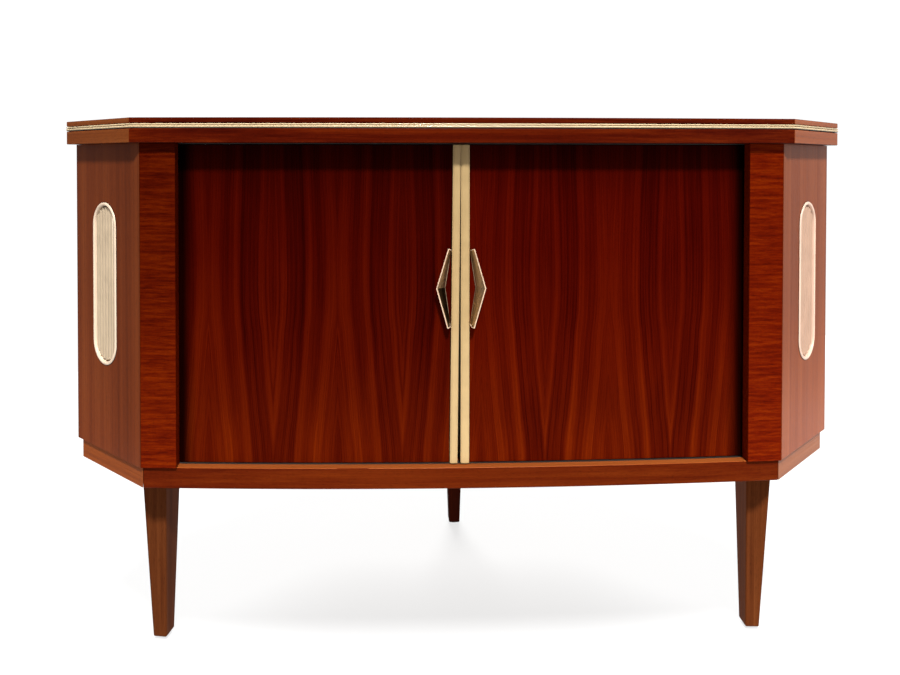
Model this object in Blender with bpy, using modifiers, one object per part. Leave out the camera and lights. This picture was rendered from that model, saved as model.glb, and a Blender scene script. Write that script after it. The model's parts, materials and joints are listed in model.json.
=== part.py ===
"""Radio phonograph console: a corner cabinet on three legs, with roll doors over a record deck and a radio.

Run with: blender --background --python part.py. Metres, +Z up, the front faces -Y.
The origin is on the floor, under the centre of the cabinet's bounding box.
In plan the front is a shallow arc, each side runs back and outwards at 45 degrees,
and the back follows the two walls of a room's corner, cut off square behind the rear leg.
"""

import math

import bmesh
import bpy
from mathutils import Matrix, Vector

# Driving dimensions of the cabinet
HEIGHT = 0.800
CARCASE_DEEP = 0.560
HALF_FRONT = 0.4722
BOW = 0.0168
SIDE_RUN = 0.1985
TOP_THICK = 0.036
TOP_LIP = 0.0083
TRIM_HIGH = 0.0070
TRIM_PROUD = 0.0008
TOP_FRONT_OVERHANG = 0.0135
TOP_SIDE_OVERHANG = 0.0162
BASE_LOW = 0.261
BASE_HIGH = 0.292
BASE_INSET = 0.0052
GAP = 0.0003

# Walls of the cabinet
STILE_WIDE = 0.0522
STILE_THICK = 0.020
SIDE_THICK = 0.016
RAIL_DEEP = 0.046
SIDE_RAIL_DEEP = 0.024
REAR_RAIL_DEEP = 0.020
BACK_THICK = 0.005
BACK_REBATE = 0.004
REAR_REBATE = 0.016
FLOOR_THICK = 0.015
INLET = (0.100, 0.345)

# Roll doors
DOOR_INSET = 0.022
SLAT_THICK = 0.006
MEET_X = -0.007
MEET_GAP = 0.0016
LEAD_WIDE = 0.0125
LEAD_PROUD = 0.0065
TRACK_HIGH = 0.001
TRACK_HALF = 0.0045
TURN_X = 0.424
TURN_RADIUS = 0.033
RUN_ANGLE = math.radians(26)
RUN_LENGTH = 0.452
TAIL_FROM, TAIL_TO = 0.006, 0.064
HANDLE_Z = 0.5527
HANDLE_HALF = 0.0583
HANDLE_APEX_FRONT, HANDLE_APEX_BACK = 0.0225, 0.0095
HANDLE_END_FRONT, HANDLE_END_BACK = 0.0058, 0.0012
HANDLE_DEEP = 0.017
HANDLE_THICK = 0.0016

# Grilles and speakers
GRILLE_ALONG = 0.105
GRILLE_Z = 0.550
GRILLE_RADIUS = 0.036
GRILLE_HALF = 0.0885
GRILLE_RIM = 0.0048
GRILLE_PROUD = 0.0020
FLUTES = 7
SPEAKER_RADIUS = 0.065
SPEAKER_DEEP = 0.058

# Legs
LEG_LEFT_X, LEG_RIGHT_X = -0.4545, 0.4507
LEG_FRONT_DEPTH = 0.087
LEG_REAR_X = 0.022
LEG_REAR_DEPTH = 0.480
LEG_TOP = (0.039, 0.056)
REAR_LEG_TOP = (0.039, 0.046)
LEG_FOOT = (0.0212, 0.029)
LEFT_LEG_TURN, RIGHT_LEG_TURN = math.radians(-10), math.radians(-3)
GLIDE_RADIUS, GLIDE_HIGH = 0.008, 0.003

# Interior
PARTITION_THICK = 0.012
DIVIDER_THICK = 0.016
DIVIDER_DEPTH = 0.062
SHELF_THICK = 0.012
DECK_SHELF_Z = 0.480
RADIO_SHELF_Z = 0.500
BAY_FRONT = 0.078
BAY_BACK = 0.505
PARTITION_BACK, DIVIDER_BACK = 0.522, 0.535

# Record deck
SPINDLE = (-0.190, 0.238)
PLATTER_RADIUS = 0.127
PLATTER_Z = 0.0185
MAT_MARGIN, MAT_THICK = 0.005, 0.003
ARM_PIVOT = (-0.054, 0.384)
ARM_LENGTH = 0.212
ARM_TAIL = 0.046
ARM_Z = 0.040
SELECTOR = (-0.352, 0.134)

# Radio
FASCIA_THICK = 0.010
DIAL = (0.222, 0.674, 0.300, 0.074)
CONTROL_Z = 0.572
TUNING_X, VOLUME_X = 0.352, 0.092
KEYS_X = (0.182, 0.222, 0.262)
KEY_SIZE = (0.032, 0.022)

# Derived
FRONT_Y = (TOP_FRONT_OVERHANG + TRIM_PROUD - CARCASE_DEEP) / 2
RADIUS = (HALF_FRONT**2 + BOW**2) / (2 * BOW)
ARC_Y = FRONT_Y + RADIUS
CORNER = Vector((HALF_FRONT, FRONT_Y + BOW))
DIAGONAL = math.sqrt(0.5)
REAR_Y = FRONT_Y + CARCASE_DEEP
WALL_SUM = HALF_FRONT + CORNER.y + 2 * SIDE_RUN * DIAGONAL
CARCASE_TOP = HEIGHT - TOP_THICK
SLAT_LOW, SLAT_HIGH = BASE_HIGH + 0.0025, CARCASE_TOP - 0.0025
SLAT_MIDDLE = DOOR_INSET + SLAT_THICK / 2
DECK_TOP = DECK_SHELF_Z + SHELF_THICK + GAP + 0.008

# Colour, roughness, metallic
FINISHES = {
    "walnut_red": ((0.14, 0.016, 0.003), 0.32, 0.0),
    "walnut_light": ((0.25, 0.09, 0.04), 0.38, 0.0),
    "leg_walnut": ((0.13, 0.035, 0.01), 0.42, 0.0),
    "maple_lining": ((0.45, 0.27, 0.13), 0.45, 0.0),
    "cream_plastic": ((0.78, 0.62, 0.42), 0.35, 0.0),
    "brass": ((0.72, 0.52, 0.28), 0.28, 1.0),
    "hardboard": ((0.16, 0.09, 0.045), 0.8, 0.0),
    "black_metal": ((0.03, 0.03, 0.03), 0.5, 0.4),
    "steel": ((0.55, 0.55, 0.56), 0.3, 1.0),
    "deck_enamel": ((0.52, 0.44, 0.32), 0.3, 0.0),
    "rubber": ((0.02, 0.02, 0.02), 0.85, 0.0),
    "glass": ((0.75, 0.78, 0.7), 0.08, 0.0),
}


def clear_scene():
    for obj in list(bpy.data.objects):
        bpy.data.objects.remove(obj, do_unlink=True)


def new_collection(name):
    found = bpy.data.collections.new(name)
    bpy.context.scene.collection.children.link(found)
    return found


clear_scene()
CONSOLE = new_collection("radio_phonograph_console")
CUTTERS = new_collection("cutters")
MATERIALS = {}


def finish(name):
    if name not in MATERIALS:
        colour, rough, metal = FINISHES[name]
        made = bpy.data.materials.new(name)
        made.use_nodes = True
        shader = made.node_tree.nodes["Principled BSDF"]
        shader.inputs["Base Color"].default_value = (*colour, 1.0)
        shader.inputs["Roughness"].default_value = rough
        shader.inputs["Metallic"].default_value = metal
        MATERIALS[name] = made
    return MATERIALS[name]


# ---- plan geometry: every inset is measured inwards from the cabinet's outer face ----


def front_y(x, inset=0.0):
    """Y of the bowed front face, moved inwards by inset."""
    return ARC_Y - math.sqrt((RADIUS - inset) ** 2 - x * x)


def front_arc(start, end, inset, steps):
    """Plan points along the bowed front from x = start to x = end."""
    xs = [start + (end - start) * i / steps for i in range(steps + 1)]
    return [Vector((x, front_y(x, inset))) for x in xs]


def side_point(along, inset):
    """A plan point of the right side: along its run from the front corner, inset from its face."""
    return CORNER + along * Vector((DIAGONAL, DIAGONAL)) + inset * Vector((-DIAGONAL, DIAGONAL))


def corner_point(front_inset, side_inset):
    """Where the bowed front and the right side meet, each moved inwards."""
    x = HALF_FRONT
    for _ in range(12):
        x = HALF_FRONT + front_y(x, front_inset) - CORNER.y - side_inset / DIAGONAL
    return Vector((x, front_y(x, front_inset)))


def wall_point(side_inset, wall_inset):
    """Where the right side's line meets the line of the room's wall, each moved inwards."""
    return side_point(SIDE_RUN - wall_inset, side_inset)


def rear_point(wall_inset, rear_inset):
    """Where the right wall line meets the square rear flat, each moved inwards."""
    y = REAR_Y - rear_inset
    return Vector((WALL_SUM - wall_inset / DIAGONAL - y, y))


def mirrored(points, side):
    return [Vector((side * p.x, p.y)) for p in points]


def both_sides(right):
    """The right half's plan points, from front to back, closed with their mirror image."""
    return right + mirrored(right, -1)[::-1]


def footprint(front_inset, side_inset, wall_inset, rear_inset, steps=10):
    corner = corner_point(front_inset, side_inset)
    right = front_arc(0.0, corner.x, front_inset, steps)[1:]
    right += [wall_point(side_inset, wall_inset), rear_point(wall_inset, rear_inset)]
    return [Vector((0.0, front_y(0.0, front_inset)))] + both_sides(right)


RUN_NORMAL = Vector((math.cos(RUN_ANGLE), math.sin(RUN_ANGLE)))
RUN_WAY = Vector((-math.sin(RUN_ANGLE), math.cos(RUN_ANGLE)))
TURN_TILT = math.asin(TURN_X / (RADIUS - SLAT_MIDDLE))
TURN_CENTRE = Vector((0, ARC_Y)) + (RADIUS - SLAT_MIDDLE - TURN_RADIUS) * Vector(
    (math.sin(TURN_TILT), -math.cos(TURN_TILT))
)


def run_point(along, offset):
    """A plan point of the right-hand roll door's inner run, offset outwards from the slats' middle."""
    return TURN_CENTRE + (TURN_RADIUS + offset) * RUN_NORMAL + along * RUN_WAY


def roll_line(start_x, run_to, offset, arc_steps=12, turn_steps=6):
    """The right-hand roll door's path: the front arc, the turn round the corner, and the inner run."""
    turn_x = (RADIUS - SLAT_MIDDLE + offset) * math.sin(TURN_TILT)
    points = front_arc(start_x, turn_x, SLAT_MIDDLE - offset, arc_steps)
    first, last = TURN_TILT - math.pi / 2, RUN_ANGLE
    for i in range(1, turn_steps + 1):
        angle = first + (last - first) * i / turn_steps
        points.append(TURN_CENTRE + (TURN_RADIUS + offset) * Vector((math.cos(angle), math.sin(angle))))
    return points + [run_point(run_to, offset)]


def partition_x(depth):
    """X of the right partition's inner face at this depth behind the front crown."""
    y = FRONT_Y + depth
    start = run_point(0.0, -TRACK_HALF - GAP - 0.0002 - PARTITION_THICK)
    return start.x - (y - start.y) * math.tan(RUN_ANGLE)


# ---- shapes ----


def place(name, mesh, material, collection=None):
    mesh.materials.append(finish(material))
    obj = bpy.data.objects.new(name, mesh)
    (collection or CONSOLE).objects.link(obj)
    return obj


def skin(name, loops, material, ring=False, matrix=None, collection=None):
    """A solid skinned over loops of equal length: capped at both ends, or closed into a ring."""
    bm = bmesh.new()
    rows = [[bm.verts.new(Vector(p)) for p in loop] for loop in loops]
    count = len(rows[0])
    pairs = list(zip(rows, rows[1:] + rows[:1])) if ring else list(zip(rows, rows[1:]))
    for lower, upper in pairs:
        for i in range(count):
            j = (i + 1) % count
            bm.faces.new((lower[i], lower[j], upper[j], upper[i]))
    if not ring:
        bm.faces.new(rows[0])
        bm.faces.new(rows[-1])
    if matrix is not None:
        bm.transform(matrix)
    bmesh.ops.recalc_face_normals(bm, faces=bm.faces)
    mesh = bpy.data.meshes.new(name)
    bm.to_mesh(mesh)
    bm.free()
    return place(name, mesh, material, collection)


def prism(name, outline, low, high, material, matrix=None, collection=None):
    """A plan outline extruded from low to high."""
    loops = [[(p[0], p[1], z) for p in outline] for z in (low, high)]
    return skin(name, loops, material, matrix=matrix, collection=collection)


def rectangle(x0, y0, x1, y1):
    return [(x0, y0), (x1, y0), (x1, y1), (x0, y1)]


def circle(radius, steps, centre=(0.0, 0.0)):
    turns = [2 * math.pi * i / steps for i in range(steps)]
    return [(centre[0] + radius * math.cos(a), centre[1] + radius * math.sin(a)) for a in turns]


def stadium(radius, half, steps=8):
    """A tall oblong with round ends: half is from its centre to each end's centre."""
    points = []
    for centre, first in ((half, 0.0), (-half, math.pi)):
        for i in range(steps + 1):
            angle = first + math.pi * i / steps
            points.append((radius * math.cos(angle), centre + radius * math.sin(angle)))
    return points


def turned(name, profile, material, matrix, steps=32, ring=False):
    """A profile of (radius, height) points turned about local Z, from the axis down or closed as a ring."""
    bm = bmesh.new()
    verts = [bm.verts.new((r, 0.0, z)) for r, z in profile]
    for a, b in zip(verts, verts[1:] + verts[:1] if ring else verts[1:]):
        bm.edges.new((a, b))
    mesh = bpy.data.meshes.new(name)
    bm.to_mesh(mesh)
    bm.free()
    obj = place(name, mesh, material)
    obj.matrix_world = matrix
    screw = obj.modifiers.new("turn", "SCREW")
    screw.steps = screw.render_steps = steps
    screw.use_merge_vertices = True
    screw.merge_threshold = 0.00001
    return obj


def hide(obj):
    obj.hide_render = True
    obj.display_type = "WIRE"
    return obj


def boolean(obj, other, operation):
    modifier = obj.modifiers.new(operation.lower(), "BOOLEAN")
    modifier.operation = operation
    modifier.object = hide(other)


def cut(obj, cutter):
    boolean(obj, cutter, "DIFFERENCE")


def origin_to(obj, point):
    """Moves the object's origin to a point on its joint's axis, with the shape left where it is."""
    obj.data.transform(Matrix.Translation(-Vector(point)))
    obj.location = point
    return obj


def side_frame(side, along, height):
    """Local X runs back along the side's face, Y up and Z out of it."""
    at = side_point(along, 0.0)
    columns = ((side * DIAGONAL, DIAGONAL, 0), (0, 0, 1), (side * DIAGONAL, -DIAGONAL, 0))
    frame = Matrix(columns).transposed().to_4x4()
    return Matrix.Translation((side * at.x, at.y, height)) @ frame


def facing(x, y, z):
    """Local Z points out of the front, X to the right and Y up."""
    frame = Matrix(((1, 0, 0), (0, 0, 1), (0, -1, 0))).transposed().to_4x4()
    return Matrix.Translation((x, y, z)) @ frame


NAMES = {-1: "left", 1: "right"}


# ---- the cabinet ----


def make_top():
    outer = footprint(-TOP_FRONT_OVERHANG, -TOP_SIDE_OVERHANG, 0.0, 0.0)
    groove = TOP_FRONT_OVERHANG - 0.0035, TOP_SIDE_OVERHANG - 0.0035
    inner = footprint(-groove[0], -groove[1], 0.0, 0.0)
    levels = (
        (outer, CARCASE_TOP),
        (outer, HEIGHT - TOP_LIP - TRIM_HIGH - GAP),
        (inner, HEIGHT - TOP_LIP - TRIM_HIGH - GAP),
        (inner, HEIGHT - TOP_LIP + GAP),
        (outer, HEIGHT - TOP_LIP + GAP),
        (outer, HEIGHT),
    )
    skin("top_board", [[(p.x, p.y, z) for p in shape] for shape, z in levels], "walnut_red")
    inside = groove[0] + GAP, groove[1] + GAP
    outside = TOP_FRONT_OVERHANG + TRIM_PROUD, TOP_SIDE_OVERHANG + TRIM_PROUD

    def edge(front, side):
        corner = corner_point(-front, -side)
        return front_arc(0.0, corner.x, -front, 10)[1:] + [wall_point(-side, GAP)]

    def whole(front, side):
        right = edge(front, side)
        return mirrored(right, -1)[::-1] + [Vector((0.0, front_y(0.0, -front)))] + right

    outline = whole(*outside) + whole(*inside)[::-1]
    low = HEIGHT - TOP_LIP - TRIM_HIGH
    prism("top_trim", outline, low, low + TRIM_HIGH, "cream_plastic")


def make_base():
    inner = BASE_INSET + RAIL_DEEP
    side_inner = BASE_INSET + SIDE_RAIL_DEEP
    mitre = corner_point(BASE_INSET, BASE_INSET)
    inner_mitre = corner_point(inner, side_inner)
    front = front_arc(GAP - mitre.x, mitre.x - GAP, BASE_INSET, 20)
    front += front_arc(inner_mitre.x - GAP, GAP - inner_mitre.x, inner, 20)
    prism("front_rail", front, BASE_LOW, BASE_HIGH, "walnut_red")
    side = [
        mitre,
        wall_point(BASE_INSET, BASE_INSET),
        wall_point(side_inner, BASE_INSET),
        inner_mitre,
    ]
    for hand in (-1, 1):
        name = NAMES[hand] + "_side_rail"
        prism(name, mirrored(side, hand), BASE_LOW, BASE_HIGH, "walnut_light")
    rear_inner = BASE_INSET + REAR_RAIL_DEEP
    clear = side_inner + GAP
    outer = [wall_point(clear, BASE_INSET), rear_point(BASE_INSET, BASE_INSET)]
    inner_line = [wall_point(clear, rear_inner), rear_point(rear_inner, rear_inner)]
    rear = outer + mirrored(outer, -1)[::-1] + mirrored(inner_line, -1) + inner_line[::-1]
    prism("rear_rail", rear, BASE_LOW, BASE_HIGH, "walnut_light")
    floor = footprint(inner + GAP, clear, rear_inner + GAP, rear_inner + GAP)
    prism("floor_panel", floor, BASE_HIGH - FLOOR_THICK, BASE_HIGH - GAP, "maple_lining")


def make_walls():
    low, high = BASE_HIGH + GAP, CARCASE_TOP - GAP
    mitre, inner_mitre = corner_point(0.0, 0.0), corner_point(STILE_THICK, SIDE_THICK)
    edge = HALF_FRONT - STILE_WIDE
    stile = front_arc(edge, mitre.x - GAP, 0.0, 3)
    stile += [Vector((inner_mitre.x - GAP, inner_mitre.y)), Vector((edge, front_y(edge, STILE_THICK)))]
    panel = [mitre, wall_point(0.0, 0.0), wall_point(SIDE_THICK, 0.0), inner_mitre]
    for hand in (-1, 1):
        prism(NAMES[hand] + "_stile", mirrored(stile, hand), low, high, "walnut_red")
        name = NAMES[hand] + "_side_panel"
        side = prism(name, mirrored(panel, hand), low, high, "walnut_light")
        hole = stadium(GRILLE_RADIUS - 0.0025, GRILLE_HALF)
        frame = side_frame(hand, GRILLE_ALONG, GRILLE_Z)
        cut(side, prism(name + "_hole", hole, -0.05, 0.05, "cream_plastic", frame, CUTTERS))


def make_backs():
    low, high = BASE_HIGH + GAP, CARCASE_TOP - GAP
    outer, inner = BACK_REBATE, BACK_REBATE + BACK_THICK
    flat_outer, flat_inner = REAR_REBATE, REAR_REBATE + BACK_THICK
    start = SIDE_THICK + GAP
    panel = [
        wall_point(start, outer),
        rear_point(outer, flat_outer),
        rear_point(inner, flat_outer),
        wall_point(start, inner),
    ]
    middle = (panel[0] + panel[1]) / 2
    for hand in (-1, 1):
        name = NAMES[hand] + "_back_panel"
        back = prism(name, mirrored(panel, hand), low, high, "hardboard")
        frame = Matrix(((-hand * DIAGONAL, DIAGONAL, 0), (0, 0, 1), (hand * DIAGONAL, DIAGONAL, 0)))
        frame = Matrix.Translation((hand * middle.x, middle.y, 0)) @ frame.transposed().to_4x4()
        for row in range(5):
            z = 0.40 + row * 0.06
            slot = rectangle(-0.11, z - 0.004, 0.11, z + 0.004)
            cut(back, prism(f"{name}_slot_{row}", slot, -0.04, 0.04, "hardboard", frame, CUTTERS))
    half = rear_point(inner, flat_outer).x - 2 * GAP
    flat = rectangle(-half, REAR_Y - flat_inner, half, REAR_Y - flat_outer)
    rear = prism("rear_panel", flat, low, high, "hardboard")
    inlet = facing(INLET[0], REAR_Y, INLET[1])
    hole = circle(0.0105, 16)
    cut(rear, prism("rear_panel_hole", hole, -0.03, 0.03, "hardboard", inlet, CUTTERS))
    profile = ((0, 0.012), (0.0065, 0.012), (0.007, 0.010), (0.007, 0.0042), (0.0145, 0.0042))
    profile += ((0.016, 0.0028), (0.016, 0.0003), (0.0095, 0.0003), (0.0095, -0.012), (0, -0.012))
    out = Matrix.Translation((INLET[0], REAR_Y - flat_outer, INLET[1])) @ Matrix.Rotation(-math.pi / 2, 4, "X")
    turned("power_inlet", profile, "black_metal", out, 24)


def make_legs():
    low, high = GLIDE_HIGH + GAP, BASE_HIGH - FLOOR_THICK - GAP
    share = low / BASE_LOW
    for name, x, depth, outward, top, turn in (
        ("front_left_leg", LEG_LEFT_X, LEG_FRONT_DEPTH, -1, LEG_TOP, LEFT_LEG_TURN),
        ("front_right_leg", LEG_RIGHT_X, LEG_FRONT_DEPTH, 1, LEG_TOP, RIGHT_LEG_TURN),
        ("rear_leg", LEG_REAR_X, LEG_REAR_DEPTH, 0, REAR_LEG_TOP, 0.0),
    ):
        y = FRONT_Y + depth
        loops = []
        for z, part in ((low, share), (BASE_LOW, 1.0), (high, 1.0)):
            wide = LEG_FOOT[0] + (top[0] - LEG_FOOT[0]) * part
            deep = LEG_FOOT[1] + (top[1] - LEG_FOOT[1]) * part
            x0, x1 = {-1: (x - wide, x), 0: (x - wide / 2, x + wide / 2), 1: (x, x + wide)}[outward]
            loops.append([(px, py, z) for px, py in rectangle(x0, y, x1, y + deep)])
        spin = Matrix.Translation((x, y, 0)) @ Matrix.Rotation(turn, 4, "Z") @ Matrix.Translation((-x, -y, 0))
        skin(name, loops, "leg_walnut", matrix=spin)
        centre = (x + outward * LEG_FOOT[0] / 2, y + LEG_FOOT[1] / 2, 0.0)
        disc = ((0, GLIDE_HIGH), (GLIDE_RADIUS, GLIDE_HIGH), (GLIDE_RADIUS, 0.0008))
        disc += ((GLIDE_RADIUS - 0.0008, 0), (0, 0))
        turned(name.replace("_leg", "_glide"), disc, "steel", spin @ Matrix.Translation(centre), 24)


# ---- the roll doors ----


def make_tracks():
    end = RUN_LENGTH
    outer = roll_line(0.0, end, TRACK_HALF, 10)[1:]
    inner = roll_line(0.0, end, -TRACK_HALF, 10)[1:]
    front = [Vector((0.0, front_y(0.0, SLAT_MIDDLE - TRACK_HALF)))]
    back = [Vector((0.0, front_y(0.0, SLAT_MIDDLE + TRACK_HALF)))]
    outline = mirrored(outer, -1)[::-1] + front + outer
    outline += inner[::-1] + back + mirrored(inner, -1)
    for name, z in (("lower_track", BASE_HIGH + GAP), ("upper_track", CARCASE_TOP - GAP - TRACK_HIGH)):
        prism(name, outline, z, z + TRACK_HIGH, "black_metal")


def handle_loops(hand, edge_x, face_y):
    """The bent ribbon's cross-section at its top end, its apex and its bottom end."""
    loops = []
    for height, front, back in (
        (HANDLE_HALF, HANDLE_END_FRONT, HANDLE_END_BACK),
        (0.0, HANDLE_APEX_FRONT, HANDLE_APEX_BACK),
        (-HANDLE_HALF, HANDLE_END_FRONT, HANDLE_END_BACK),
    ):
        near, far = face_y - HANDLE_DEEP, face_y - 0.0008
        back_height = height * 0.955
        loops.append(
            [
                (edge_x + hand * (front - HANDLE_THICK / 2), near, HANDLE_Z + height * 0.985),
                (edge_x + hand * (front + HANDLE_THICK / 2), near, HANDLE_Z + height),
                (edge_x + hand * (back + HANDLE_THICK / 2), far, HANDLE_Z + back_height),
                (edge_x + hand * (back - HANDLE_THICK / 2), far, HANDLE_Z + back_height * 0.985),
            ]
        )
    return loops


def make_doors():
    for hand in (-1, 1):
        side = NAMES[hand]
        near = hand * MEET_X + MEET_GAP / 2
        edge = near + LEAD_WIDE
        face = front_y(edge, DOOR_INSET)
        front = front_y(near, DOOR_INSET) - LEAD_PROUD
        strip = rectangle(hand * near, front, hand * edge, face + SLAT_THICK)
        prism(side + "_lead_strip", strip, SLAT_LOW, SLAT_HIGH, "cream_plastic")
        skin(side + "_door_handle", handle_loops(hand, hand * edge, face), "brass")
        start = edge + GAP
        outer = roll_line(start, TAIL_FROM - 0.002, SLAT_THICK / 2)
        inner = roll_line(start, TAIL_FROM - 0.002, -SLAT_THICK / 2)
        curtain = mirrored(outer + inner[::-1], hand)
        prism(side + "_door_curtain", curtain, SLAT_LOW, SLAT_HIGH, "walnut_red")
        tail = [run_point(s, o * SLAT_THICK / 2) for s, o in
                ((TAIL_FROM, 1), (TAIL_TO, 1), (TAIL_TO, -1), (TAIL_FROM, -1))]
        prism(side + "_tail_slats", mirrored(tail, hand), SLAT_LOW, SLAT_HIGH, "walnut_red")


# ---- grilles and speakers ----


def make_grilles():
    inner = GRILLE_RADIUS - GRILLE_RIM
    sleeve = GRILLE_RADIUS - 0.003
    section = (
        (GRILLE_RADIUS, GAP),
        (GRILLE_RADIUS, GRILLE_PROUD * 0.6),
        (GRILLE_RADIUS - 0.0018, GRILLE_PROUD),
        (inner + 0.0018, GRILLE_PROUD),
        (inner, GRILLE_PROUD * 0.6),
        (inner, -0.012),
        (sleeve, -0.012),
        (sleeve, GAP),
    )
    pitch = 2 * inner / FLUTES
    wave = []
    for i in range(FLUTES):
        middle = -inner + (i + 0.5) * pitch
        for share, lift in ((-0.5, 0.0), (-0.28, 0.0019), (0.0, 0.0026), (0.28, 0.0019)):
            wave.append((middle + share * pitch, lift))
    wave += [(inner, 0.0), (inner, -0.002), (-inner, -0.002)]
    disc = ((0, -0.0005), (0.016, -0.0085), (0.020, -0.010), (0.057, -0.0005), (SPEAKER_RADIUS, -0.0005))
    disc += ((SPEAKER_RADIUS, -0.004), (0.060, -0.0045), (0.034, -0.034), (0.034, -SPEAKER_DEEP))
    disc += ((0, -SPEAKER_DEEP),)
    for hand in (-1, 1):
        side = NAMES[hand]
        frame = side_frame(hand, GRILLE_ALONG, GRILLE_Z)
        loops = [[(x, y, w) for x, y in stadium(r, GRILLE_HALF)] for r, w in section]
        skin(side + "_grille_frame", loops, "cream_plastic", ring=True, matrix=frame)
        turn = Matrix(((1, 0, 0), (0, 0, 1), (0, 1, 0))).to_4x4()
        lift = Matrix.Translation((0, 0, -0.0055))
        reach = GRILLE_RADIUS + GRILLE_HALF
        louvre = prism(side + "_grille_louvre", wave, -reach, reach, "cream_plastic", frame @ lift @ turn)
        window = stadium(inner - GAP, GRILLE_HALF)
        mask = prism(side + "_louvre_mask", window, -0.02, 0.02, "cream_plastic", frame, CUTTERS)
        boolean(louvre, mask, "INTERSECT")
        seat = Matrix.Translation((0, 0, -SIDE_THICK))
        at = frame @ seat
        if hand < 0:
            at = at @ Matrix.Diagonal((-1, 1, 1, 1))
        turned(side + "_speaker", disc, "black_metal", at, 24)


# ---- the interior ----


def make_interior():
    low, high = BASE_HIGH + GAP, CARCASE_TOP - GAP
    outer = -TRACK_HALF - GAP - 0.0002
    front = FRONT_Y + BAY_FRONT
    reach = (FRONT_Y + PARTITION_BACK - run_point(0, outer).y) / RUN_WAY.y
    quad = [
        run_point(0.0, outer),
        run_point(reach, outer),
        run_point(reach, outer - PARTITION_THICK),
        run_point(0.0, outer - PARTITION_THICK),
    ]
    for hand in (-1, 1):
        prism(NAMES[hand] + "_partition", mirrored(quad, hand), low, high, "maple_lining")
    half = DIVIDER_THICK / 2
    middle = rectangle(-half, FRONT_Y + DIVIDER_DEPTH, half, FRONT_Y + DIVIDER_BACK)
    prism("centre_divider", middle, low, high, "maple_lining")
    for name, hand, z in (("deck_shelf", -1, DECK_SHELF_Z), ("radio_shelf", 1, RADIO_SHELF_Z)):
        shelf = [
            Vector((half + GAP, front)),
            Vector((partition_x(BAY_FRONT) - 0.0005, front)),
            Vector((partition_x(BAY_BACK) - 0.0005, FRONT_Y + BAY_BACK)),
            Vector((half + GAP, FRONT_Y + BAY_BACK)),
        ]
        prism(name, mirrored(shelf, hand), z, z + SHELF_THICK, "maple_lining")
    fin_x = 0.195
    fin = rectangle(-fin_x - 0.004, front + 0.02, -fin_x + 0.004, FRONT_Y + 0.47)
    prism("record_divider", fin, low, DECK_SHELF_Z - GAP, "maple_lining")


def make_deck():
    plate_low = DECK_SHELF_Z + SHELF_THICK + GAP
    margin = 0.012
    plate = [
        Vector((-DIVIDER_THICK / 2 - margin, FRONT_Y + BAY_FRONT + margin)),
        Vector((-partition_x(BAY_FRONT + margin) + margin, FRONT_Y + BAY_FRONT + margin)),
        Vector((-partition_x(0.47) + margin, FRONT_Y + 0.47)),
        Vector((-DIVIDER_THICK / 2 - margin, FRONT_Y + 0.47)),
    ]
    prism("deck_plate", plate, plate_low, DECK_TOP, "deck_enamel")
    x, y = SPINDLE[0], FRONT_Y + SPINDLE[1]
    hub = Matrix.Translation((x, y, DECK_TOP))
    r = PLATTER_RADIUS
    pin, high = 0.0036, PLATTER_Z
    platter = ((0, high + 0.016), (0.0022, high + 0.0155), (pin, high + 0.012), (pin, high))
    platter += ((r - 0.002, high), (r, high - 0.002), (r - 0.002, 0.004), (0.022, 0.004))
    platter += ((0.022, GAP), (0, GAP))
    turned("platter", platter, "steel", hub, 48)
    low, edge, hole = high + GAP, r - MAT_MARGIN, 0.006
    mat = ((hole, low), (hole, low + MAT_THICK), (edge, low + MAT_THICK), (edge, low))
    turned("platter_mat", mat, "rubber", hub, 48, ring=True)
    make_arm()
    knob = ((0, 0.017), (0.009, 0.017), (0.0105, 0.0155), (0.0125, 0.004), (0.016, 0.003))
    knob += ((0.016, GAP), (0, GAP))
    at = Matrix.Translation((SELECTOR[0], FRONT_Y + SELECTOR[1], DECK_TOP))
    selector = turned("speed_selector", knob, "cream_plastic", at, 24)
    fin = rectangle(-0.0028, -0.024, 0.0028, 0.006)
    bar = prism("speed_selector_bar", fin, 0.008, 0.0195, "cream_plastic", at, CUTTERS)
    boolean(selector, bar, "UNION")


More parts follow.
